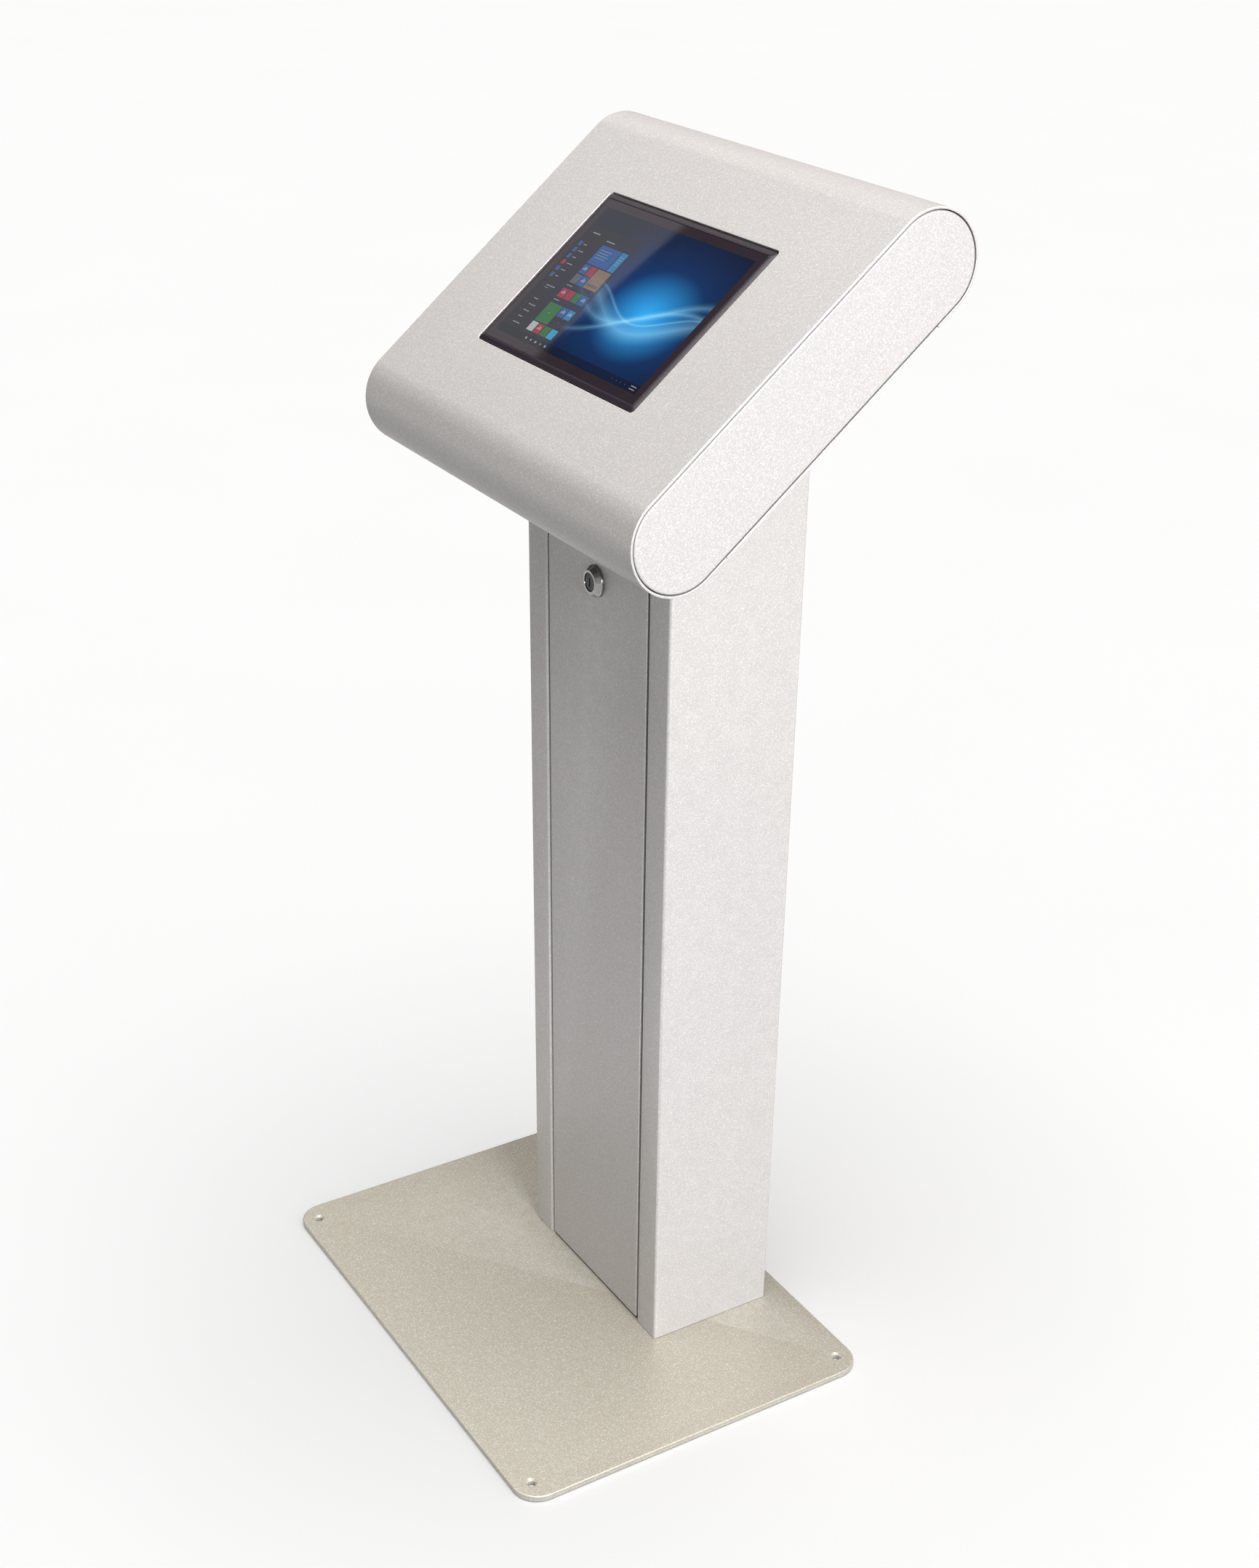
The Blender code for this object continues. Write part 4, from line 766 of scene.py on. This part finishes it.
def paint_glyphs(picture):
    """Plain marks on the tiles: bars, rings, a sun over a hill and small charts."""
    for line in range(4):
        low = TILE_TOP - 6.0 - 2.6 * line
        picture.patch(TILE_LEFT + 3.0, low, 17.0 - 2.0 * (line % 2), 0.8, PALE, 0.2, 0.40)
        picture.patch(TILE_LEFT + 33.0, low, 5.0, 0.8, PALE, 0.2, 0.40)
    green_x, green_y = TILE_LEFT + 9.9, TILE_TOP - 7.0 * TILE_PITCH
    picture.disc(green_x, green_y, 3.4, PALE)
    picture.disc(green_x, green_y, 2.1, GREEN)
    picture.disc(green_x, green_y, 0.9, PALE)
    picture.disc(TILE_LEFT + 25.0, TILE_TOP - 2.6 * TILE_PITCH, 2.4, AMBER, 0.8)
    hill_left, hill_bottom = TILE_LEFT + 2 * TILE_PITCH, TILE_TOP - 4 * TILE_PITCH + TILE_GAP
    picture.patch(hill_left, hill_bottom, 19.9, 6.0, DUSK, 2.0, 0.75)
    picture.disc(TILE_LEFT + 31.0, TILE_TOP - 7.45 * TILE_PITCH, 2.6, AMBER, 0.9)
    for column, row in CHARTS:
        x = TILE_LEFT + (column + 0.5) * TILE_PITCH - TILE_GAP / 2
        y = TILE_TOP - (row + 0.5) * TILE_PITCH + TILE_GAP / 2
        for bar, tall in enumerate((2.0, 3.6, 2.8)):
            picture.patch(x - 2.6 + 1.9 * bar, y - 1.8, 1.2, tall, PALE, 0.2, 0.8)


def paint_task_strip(picture):
    """A dark strip along the bottom with small marks, dots and two bars in place of a clock."""
    picture.patch(0.0, 0.0, LIT_WIDE, TASK_TALL, BLACK, 0.0)
    middle = TASK_TALL / 2
    for number, colour in enumerate((PALE, PALE, PALE, AMBER, PALE)):
        left, low = TASK_LEFT + TASK_PITCH * number, middle - TASK_ICON / 2
        picture.patch(left, low, TASK_ICON, TASK_ICON, colour, 0.7 + 0.2 * (number % 2), 0.9)
    for number in range(4):
        picture.disc(TRAY_LEFT + TRAY_PITCH * number, middle, 1.0 + 0.2 * (number % 2), PALE, 0.85)
    for line in (0.8, -1.9):
        picture.patch(CLOCK_LEFT, middle + line, 7.5, 1.1, PALE, 0.2, 0.7)


def screen_glass():
    """Cover glass with a printed black border, finger smudges and the picture shining through."""
    made = Finish("glass_finish", {"Metallic": 0.0, "Specular IOR Level": 0.5, "Emission Strength": 1.0})
    picture = Picture(made)
    paint_wallpaper(picture)
    paint_menu(picture)
    paint_task_strip(picture)
    shown = picture.colour
    flat = made.vector("ABSOLUTE", made.vector("MULTIPLY", made.place, (1.0, 1.0, 0.0)))
    beyond = made.vector("SUBTRACT", flat, (LIT_HALF_X, LIT_HALF_U, 0.0))
    past = made.node("ShaderNodeSeparateXYZ", {0: beyond})
    dark = made.math("GREATER_THAN", made.math("MAXIMUM", past.outputs[0], past.outputs[1]), 0.0)
    made.set("Emission Color", made.mix(dark, shown, (0.0, 0.0, 0.0)))
    smudge = made.noise(38.0, 5.0, made.stretched((1.0, 0.6, 1.0)), 0.6)
    border = made.mix(smudge, (0.0100, 0.0070, 0.0100), (0.0130, 0.0095, 0.0125))
    made.set("Base Color", made.mix(dark, BLACK, border))
    made.set("Roughness", made.span(smudge, 0.45, 0.75, 0.025, 0.06))
    made.set("Normal", made.bump(made.noise(9.0, 2.0), 0.00002, 0.15))
    return made.material


def make_finishes():
    return {
        "powder_coat": powder_coat("silver_finish", (0.350, 0.338, 0.332), (0.338, 0.328, 0.326)),
        "plate_coat": powder_coat("plate_finish", (0.292, 0.271, 0.221), (0.278, 0.260, 0.215)),
        "zinc": zinc_plate(),
        "chrome": chrome_plate(),
        "black_metal": black_metal(),
        "black_plastic": black_plastic(),
        "bezel": bezel_paint(),
        "glass": screen_glass(),
        "display": dark_panel(),
        "rubber": soft_rubber(),
        "circuit": circuit_board(),
    }


# ------------------------ places
def places_of(stem, measure=slope_box):
    """Where each of four numbered fasteners sits, in the head's frame or the kiosk's."""
    spots = []
    for number in range(1, 5):
        low, high = measure(f"{stem}_{number}")
        middle = (low + high) / 2
        spots.append((middle.x, middle.y))
    return spots


def lock_centre():
    low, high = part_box("lock_body")
    return ((low.x + high.x) / 2, (low.z + high.z) / 2)


def pivot_holes(near, far):
    """Cutters for the door's two pivot screws, between two distances from the middle."""
    pivot = joint("service_door_tilt")["pos_m"]
    centre = (pivot[1], pivot[2])
    return [bore(PIVOT_HOLE_R, -far, -near, "x", centre), bore(PIVOT_HOLE_R, near, far, "x", centre)]


# ------------------------ floor plate
def make_floor_plate(finish):
    """The plate: a rounded rim, four countersunk anchor holes and four for the foot's bolts."""
    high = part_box("base_plate")[1]
    half_x, half_y, thick = high.x, high.y, high.z

    def outline(inset):
        return rounded_rectangle(half_x - inset, half_y - inset, PLATE_CORNER - inset, 16)

    rings = [(outline(PLATE_UNDER), 0.0), (outline(0.0), PLATE_UNDER)]
    rings += [(outline(inset), thick - depth) for depth, inset in quarter(PLATE_EDGE, 5)]
    plate = object_from("floor_plate", loft(rings, "z"))
    rim = ANCHOR_SINK_R + ANCHOR_CROWN
    sink = [(ANCHOR_HOLE_R, -PAST), (ANCHOR_HOLE_R, thick - ANCHOR_SINK_DEPTH),
            (ANCHOR_SINK_R, thick - ANCHOR_CROWN), (rim, thick), (rim, thick + PAST)]
    cuts = []
    for side_x in (-1, 1):
        for side_y in (-1, 1):
            spot = (side_x * (half_x - ANCHOR_INSET_X), side_y * (half_y - ANCHOR_INSET_Y))
            cuts.append(turned(sink, "z", spot, 48))
    for spot in places_of("foot_bolt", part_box):
        cuts.append(bore(FOOT_HOLE_R, -PAST, thick + PAST, "z", spot))
    cut(plate, merge(*cuts))
    smooth_turned(plate, 25.0)
    dress(plate, "kiosk", "plate_coat", finish, "base_plate")


# ------------------------ column
def make_column_casing(finish):
    """The folded column: flanges and lips in front, vents and the inlet's cut-out behind."""
    low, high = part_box("column_shell")
    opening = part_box("column_header")[1].x + FIT
    half = high.x - COLUMN_SHEET / 2
    lip = opening + COLUMN_SHEET / 2
    front = low.y + COLUMN_SHEET / 2
    back = high.y - COLUMN_SHEET / 2
    lip_end = low.y + LIP_DEPTH
    middle = [(lip, lip_end), (lip, front), (half, front), (half, back),
              (-half, back), (-half, front), (-lip, front), (-lip, lip_end)]
    section = sheet_section(middle, COLUMN_SHEET, COLUMN_BEND - COLUMN_SHEET / 2)
    build = prism(section, "z", low.z, high.z)
    under = slope_box("head_wrap")[0].z - FIT
    for vert in build.verts:
        if vert.co.z > high.z - PAST:
            vert.co.z = slope_height(vert.co.y, under)
    casing = object_from("column_casing", build)
    inlet_low, inlet_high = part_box("power_inlet")
    inlet = (inlet_low + inlet_high) / 2
    reach = Vector((INLET_HALF_X, 10 * PAST, INLET_HALF_Z))
    inlet.y = back
    cuts = pivot_holes(opening - 0.010, half - 0.006)
    cuts.append(box(inlet - reach, inlet + reach))
    for row in range(VENT_ROWS):
        z = VENT_BOTTOM + VENT_PITCH * row + VENT_HEIGHT / 2
        slot = stadium(VENT_HALF_X - VENT_HEIGHT / 2, VENT_HEIGHT / 2, 12)
        cuts.append(prism([(a, z + b) for a, b in slot], "y", back - reach.y, back + reach.y))
    cut(casing, merge(*cuts))
    round_edges(casing, SHEET_EDGE)
    dress(casing, "kiosk", "powder_coat", finish, "column_shell")


def make_header_strip(finish):
    """The stepped strip above the door."""
    low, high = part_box("column_header")
    front, rear = low.y + HEADER_SHEET / 2, high.y - HEADER_SHEET / 2
    shelf = HEADER_BOTTOM + HEADER_SHEET / 2
    middle = [(front, high.z), (front, shelf), (rear, shelf), (rear, low.z)]
    section = sheet_section(middle, HEADER_SHEET, HEADER_BEND)
    strip = object_from("header_strip", prism(section, "x", low.x, high.x))
    round_edges(strip, SHEET_EDGE)
    dress(strip, "kiosk", "powder_coat", finish, "column_header")


# ------------------------ service door
def make_door_skin(finish):
    """The dished door, with bent edges, the lock's hole and a hole for each pivot screw."""
    low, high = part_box("door_panel")
    half_x, half_z = high.x, (high.z - low.z) / 2
    centre = (0.0, (low.z + high.z) / 2)

    def outline(inset, radius):
        return rounded_rectangle(half_x - inset, half_z - inset, max(radius, 0.0002), 5, centre)

    bend = quarter(DOOR_BEND, 6)
    rings = [(outline(inset, DOOR_CORNER - inset * 0.6), low.y + depth) for inset, depth in bend]
    rings += [
        (outline(0.0, DOOR_CORNER), high.y - DOOR_RIM), (outline(DOOR_RIM, DOOR_CORNER - DOOR_RIM), high.y),
        (outline(DOOR_SHEET - DOOR_RIM, 0.0004), high.y), (outline(DOOR_SHEET, 0.0003), high.y - DOOR_RIM),
        (outline(DOOR_SHEET, 0.0003), low.y + DOOR_SHEET + DOOR_INNER_BEND),
        (outline(DOOR_SHEET + DOOR_INNER_BEND, 0.0002), low.y + DOOR_SHEET),
    ]
    door = object_from("door_skin", loft(rings, "y"))
    reach = 10 * PAST
    cuts = [bore(LOCK_HOLE_R, low.y - reach, low.y + reach, "y", lock_centre(), 48)]
    cuts += pivot_holes(half_x - 0.004, half_x + 0.004)
    cut(door, merge(*cuts))
    smooth_turned(door)
    dress(door, "service_door", "powder_coat", finish, "door_panel")


# ------------------------ cam lock
def make_lock_ring(finish):
    """The bevelled bezel and the threaded body behind it, as one hollow turned piece."""
    low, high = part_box("lock_body")
    nose, rear = low.y, high.y
    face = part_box("door_panel")[0].y - FIT
    outer = (high.x - low.x) / 2
    bore_r, crest, root = 0.0070, 0.0095, 0.0091
    profile = [
        (outer - 0.0002, face), (outer, face - 0.0002), (outer, face - 0.0017),
        (outer - 0.00015, face - 0.0021), (outer - 0.0006, face - 0.0024),
        (0.0107, nose + 0.00050), (0.0103, nose + 0.00018), (0.0098, nose), (0.0083, nose),
        (0.0080, nose + 0.00012), (0.0079, nose + 0.0004), (0.0079, nose + 0.0030),
        (bore_r, nose + 0.0030), (bore_r, rear), (root, rear), (crest, rear - 0.0004),
    ]
    thread_end = rear - 0.0008
    pitch = (thread_end - face - 0.0060) / LOCK_THREAD_TURNS
    for turn in range(LOCK_THREAD_TURNS):
        y = thread_end - pitch * turn
        profile += [(crest, y - pitch * 0.25), (root, y - pitch * 0.75)]
    profile += [(crest, face + 0.0050), (crest, face)]
    ring = object_from("lock_ring", turned(profile, "y", lock_centre(), 96, closed=True))
    smooth_turned(ring, 24.0)
    dress(ring, "service_door", "chrome", finish, "lock_body")


def make_lock_face(finish):
    """The plug with its keyway, stepped down at the back to carry the cam."""
    low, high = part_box("lock_plug")
    start, end = low.y, high.y
    spot = lock_centre()
    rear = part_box("lock_body")[1].y + 0.0010
    cam_low, cam_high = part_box("lock_cam")
    cam_front, cam_back = cam_low.y - FIT, cam_high.y - FIT
    profile = [
        (0.0070, start), (0.0073, start + 0.00008), (0.0074, start + 0.0003), (0.0075, start + 0.0018),
        (0.0067, start + 0.0021), (0.0067, rear), (0.0048, rear), (0.0048, cam_front),
        (0.0030, cam_front), (0.0030, cam_back), (0.0018, cam_back), (0.0018, end),
    ]
    profile = [(radius, y) for radius, y in profile if y <= end]
    plug = object_from("lock_face", turned(profile, "y", spot, 96))
    keyway = rounded_rectangle(KEYWAY_HALF_X, KEYWAY_HALF_Z, 0.0004, 4, (spot[0], spot[1] - 0.0003))
    cut(plug, prism(keyway, "y", start - PAST, start + KEYWAY_DEPTH))
    smooth_turned(plug, 24.0)
    dress(plug, "lock_barrel", "black_metal", finish, "lock_plug")


# ------------------------ head casing
def make_head_cover(finish):
    """The rolled sheet: cover, both rolls and a short return under each."""
    low, high = slope_box("head_wrap")
    radius = high.z
    roll = high.y - radius
    sheet = slope_box("head_bottom_panel")[1].z + radius
    back = slope_box("head_bottom_panel")[1].y + SEAM
    outline = []
    for reach, forward in ((radius, True), (radius - sheet, False)):
        ring = [(-back, -reach)] + arc((-roll, 0.0), reach, 270, 90, FINE)
        ring += arc((roll, 0.0), reach, 90, -90, FINE) + [(back, -reach)]
        outline += ring if forward else ring[::-1]
    cover = object_from("head_cover", prism(outline, "x", low.x, high.x), HEAD)
    bezel = slope_box("screen_bezel")[1]
    extra = (CUTOUT_TOP - CUTOUT_GAP) / 2
    half_x, half_u = bezel.x + CUTOUT_GAP, bezel.y + CUTOUT_GAP + extra
    hole = rounded_rectangle(half_x, half_u, SCREEN_CORNER + CUTOUT_GAP, 8, (0.0, extra))
    cut(cover, prism(hole, "z", radius - sheet - 3 * PAST, radius + 3 * PAST))
    round_edges(cover, COVER_EDGE, 3)
    dress(settle(cover), "kiosk", "powder_coat", finish, "head_wrap")


def make_end_caps(finish):
    """A dished cap in each end of the rolled sheet, with a round rim and a fine groove round it."""
    wrap = slope_box("head_wrap")[1]
    roll = wrap.y - wrap.z
    for node, side in (("end_cap_left", -1), ("end_cap_right", 1)):
        low, high = slope_box(node)
        radius = high.z
        face = high.x if side > 0 else low.x
        deep = low.x if side > 0 else high.x
        rim = quarter(CAP_EDGE, 6)
        rings = [(stadium(roll, radius - inset), face - side * depth) for inset, depth in rim]
        inner = stadium(roll, radius - CAP_WALL)
        rings += [(stadium(roll, radius), deep), (inner, deep), (inner, face - side * CAP_FLOOR)]
        cap = object_from(f"{node}_cover", loft(rings, "x"), HEAD)
        spots = [(x, u) for x, u in places_of("cap_screw") if x * side > 0]
        cut(cap, merge(*(bore(CAP_HOLE_R, -radius - PAST, -radius + 0.004, "z", spot, 24) for spot in spots)))
        smooth_turned(cap)
        dress(settle(cap), "kiosk", "powder_coat", finish, node)


def make_bottom_cover(finish):
    """The head's flush underside, with countersunk screw holes and a row of slots on each side."""
    low, high = slope_box("head_bottom_panel")
    panel = object_from("bottom_cover", box(low, high), HEAD)
    under, above = low.z - PAST, high.z + PAST
    sink = [(PANEL_SINK_R, under), (PANEL_SINK_R, low.z), (PANEL_HOLE_R, high.z), (PANEL_HOLE_R, above)]
    cuts = [turned(sink, "z", spot, 32) for spot in places_of("panel_screw") + places_of("cap_screw")]
    cuts += [bore(HEAD_BOLT_HOLE_R, under, above, "z", spot) for spot in places_of("head_bolt")]
    cuts.append(bore(CABLE_HOLE_R, under, above, "z", (0.0, 0.0), 64))
    for side in (-1, 1):
        for slot in range(SLOT_COUNT):
            x = side * (SLOT_START_X + SLOT_PITCH * slot)
            outline = rounded_rectangle(SLOT_HALF_X, SLOT_HALF_U, SLOT_HALF_X - 0.00001, 8, (x, 0.0))
            cuts.append(prism(outline, "z", under, above))
    cut(panel, merge(*cuts))
    round_edges(panel, SHEET_EDGE)
    dress(settle(panel), "kiosk", "powder_coat", finish, "head_bottom_panel")


def make_sunk_screws(finish):
    """Countersunk screws with a hex socket and a threaded shank."""
    for stem in ("panel_screw", "cap_screw"):
        for number in range(1, 5):
            node = f"{stem}_{number}"
            low, high = slope_box(node)
            spot = ((low.x + high.x) / 2, (low.y + high.y) / 2)
            profile = [(0.0037, low.z), (0.0039, low.z + 0.0002), (0.0020, low.z + 0.0021)]
            turns = 8
            step = (high.z - low.z - 0.0024) / turns
            for turn in range(turns):
                z = low.z + 0.0022 + step * turn
                profile += [(0.0016, z + step * 0.3), (0.0019, z + step * 0.8)]
            profile.append((0.0014, high.z))
            screw = object_from(f"{node}_fine", turned(profile, "z", spot, 40), HEAD)
            cut(screw, prism(circle(0.0015, 6, spot), "z", low.z - PAST, low.z + 0.0013))
            smooth_turned(screw, 28.0)
            dress(settle(screw), "kiosk", "zinc", finish, node)


# ------------------------ screen
def make_bezel(finish):
    """The frame round the glass: a small round outside, then a face that slopes up to a flat rim."""
    low, high = slope_box("screen_bezel")
    back, front = low.z, high.z

    def outline(inset, corner):
        return rounded_rectangle(high.x - inset, high.y - inset, corner)

    rings = [(outline(0.0, SCREEN_CORNER), back)]
    for step in range(5):
        angle = math.radians(70 * step / 4)
        inset = 0.0006 * (1 - math.cos(angle))
        rise = 0.0006 * math.sin(angle) - 0.0004
        rings.append((outline(inset, SCREEN_CORNER - inset), front - BEZEL_DROP + rise))
    rings += [
        (outline(BEZEL_RIM - 0.0008, 0.0019), front - 0.00012), (outline(BEZEL_RIM, 0.0015), front - 0.00002),
        (outline(BEZEL_RIM + 0.0004, 0.0013), front), (outline(BEZEL_FRAME, GLASS_CORNER), front),
        (outline(BEZEL_FRAME, GLASS_CORNER), back),
    ]
    bezel = object_from("screen_surround", loft(rings, "z", closed=True), HEAD)
    smooth_turned(bezel)
    dress(settle(bezel), "kiosk", "bezel", finish, "screen_bezel")


def make_glass(finish):
    """The cover glass, which keeps the head's frame so that the picture is painted along it."""
    low, high = slope_box("touch_glass")
    outer = rounded_rectangle(high.x, high.y, GLASS_CORNER, 8)
    inner = rounded_rectangle(high.x - GLASS_EDGE, high.y - GLASS_EDGE, 0.0009, 8)
    rings = [(outer, low.z), (outer, high.z - GLASS_EDGE), (inner, high.z)]
    glass = object_from("cover_glass", loft(rings, "z"), HEAD)
    smooth_turned(glass, 20.0)
    dress(glass, "kiosk", "glass", finish, "touch_glass")


# ------------------------ pieces kept from the CAD model
def refine(node, width, finish, slot):
    """A copy of a CAD node with its faces joined up and its sharp edges rounded."""
    source = frame["nodes"][node]
    build = bmesh.new()
    build.from_mesh(source.data)
    bmesh.ops.remove_doubles(build, verts=build.verts[:], dist=1e-6)
    verts, edges = build.verts[:], build.edges[:]
    bmesh.ops.dissolve_limit(build, angle_limit=math.radians(1.0), verts=verts, edges=edges)
    made = object_from(f"{node}_fine", build)
    round_edges(made, width)
    dress(made, source["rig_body"], slot, finish, node)


# CAD nodes shown as rounded copies, each with the width of its round
REFINED = {
    "column_foot": 0.0004, "column_top_plate": 0.0004, "door_stiffener": 0.0002, "lock_nut": 0.0003,
    "lock_cam": 0.0003, "power_inlet": 0.0003, "mains_switch": 0.0002, "power_supply_strap": 0.0002,
    "screen_frame": 0.0003, "pc_housing": 0.0002, "head_mount_plate": 0.0004, "panel_strip_front": 0.0003,
    "panel_strip_rear": 0.0003, "pc_clamp_left": 0.0002, "pc_clamp_right": 0.0002,
    "cable_clip_lower": 0.0002, "cable_clip_upper": 0.0002,
}


def finish_cad_nodes(finish):
    """Rounds or just dresses every CAD node that no piece above has replaced."""
    slots = {item["node"]: item["material_slot"] for item in frame["record"]["subparts"]}
    for node, source in frame["nodes"].items():
        if source.hide_render:
            continue
        if node in REFINED:
            refine(node, REFINED[node], finish, slots[node])
            continue
        for place_in in source.material_slots:
            place_in.material = finish[slots[node]]


# ------------------------ studio
def add_area_light(name, spot, aim, size, power, tint):
    data = bpy.data.lights.new(name, "AREA")
    data.shape = "RECTANGLE"
    data.size, data.size_y = size
    data.energy = power
    data.color = tint
    made = bpy.data.objects.new(name, data)
    made.location = spot
    made.rotation_mode = "QUATERNION"
    made.rotation_quaternion = (Vector(aim) - Vector(spot)).to_track_quat("-Z", "Y")
    bpy.context.scene.collection.objects.link(made)
    return made


def make_floor():
    """A pale matt floor that casts no light back up on the kiosk."""
    build = bmesh.new()
    bmesh.ops.create_grid(build, x_segments=1, y_segments=1, size=40.0)
    floor = object_from("studio_floor", build)
    floor.location.z = -0.0005
    pale = Finish("floor_finish", {"Roughness": 0.9, "Specular IOR Level": 0.1})
    pale.set("Base Color", pale.mix(pale.noise(2.0), (0.790, 0.790, 0.790), (0.810, 0.810, 0.810)))
    floor.data.materials.append(pale.material)
    floor.visible_diffuse = False
    floor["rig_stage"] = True
    return floor


def make_world():
    """A pale room, brighter on the user's right and dimmer in front and on the left."""
    world = bpy.data.worlds.new("studio")
    world.use_nodes = True
    bpy.context.scene.world = world
    made = Nodes(world.node_tree)
    way = made.node("ShaderNodeTexCoord").outputs["Generated"]
    lean = made.vector("DOT_PRODUCT", way, WORLD_LEAN)
    sky = made.tree.nodes["Background"]
    sky.inputs["Color"].default_value = (*WORLD_TINT, 1.0)
    strength = made.span(lean, WORLD_START, 1.0, WORLD_DIM, WORLD_BRIGHT)
    made.tree.links.new(strength, sky.inputs["Strength"])


def light_only(light, objects, name):
    """The light reaches just these objects."""
    group = bpy.data.collections.new(name)
    for item in objects:
        group.objects.link(item)
    light.light_linking.receiver_collection = group


def make_studio(floor):
    """Soft boxes above and to the right, a low strip in front, a dim card on the left and, for the
    floor alone, an even light."""
    make_world()
    key = add_area_light("key_light", *KEY_LIGHT)
    top = add_area_light("top_light", *TOP_LIGHT)
    card = add_area_light("side_card", *SIDE_CARD)
    card.rotation_mode = "XYZ"
    card.rotation_euler = (0.0, 0.0, SIDE_CARD_TURN)
    low = add_area_light("low_light", *LOW_LIGHT)
    low.visible_camera = False
    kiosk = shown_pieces()
    for light in (key, top, card, low):
        light_only(light, kiosk, f"{light.name}_reach")
    data = bpy.data.lights.new("floor_light", "SUN")
    data.energy = FLOOR_POWER
    data.color = FLOOR_TINT
    data.angle = FLOOR_SPREAD
    wash = bpy.data.objects.new("floor_light", data)
    bpy.context.scene.collection.objects.link(wash)
    light_only(wash, [floor], "floor_light_reach")
    bpy.context.scene.view_settings.view_transform = "Standard"


# ------------------------ the whole scene
def build_scene():
    add_camera()
    floor = make_floor()
    finish = make_finishes()
    make_floor_plate(finish)
    make_column_casing(finish)
    make_header_strip(finish)
    make_door_skin(finish)
    make_lock_ring(finish)
    make_lock_face(finish)
    make_head_cover(finish)
    make_end_caps(finish)
    make_bottom_cover(finish)
    make_sunk_screws(finish)
    make_bezel(finish)
    make_glass(finish)
    finish_cad_nodes(finish)
    make_studio(floor)


build_scene()
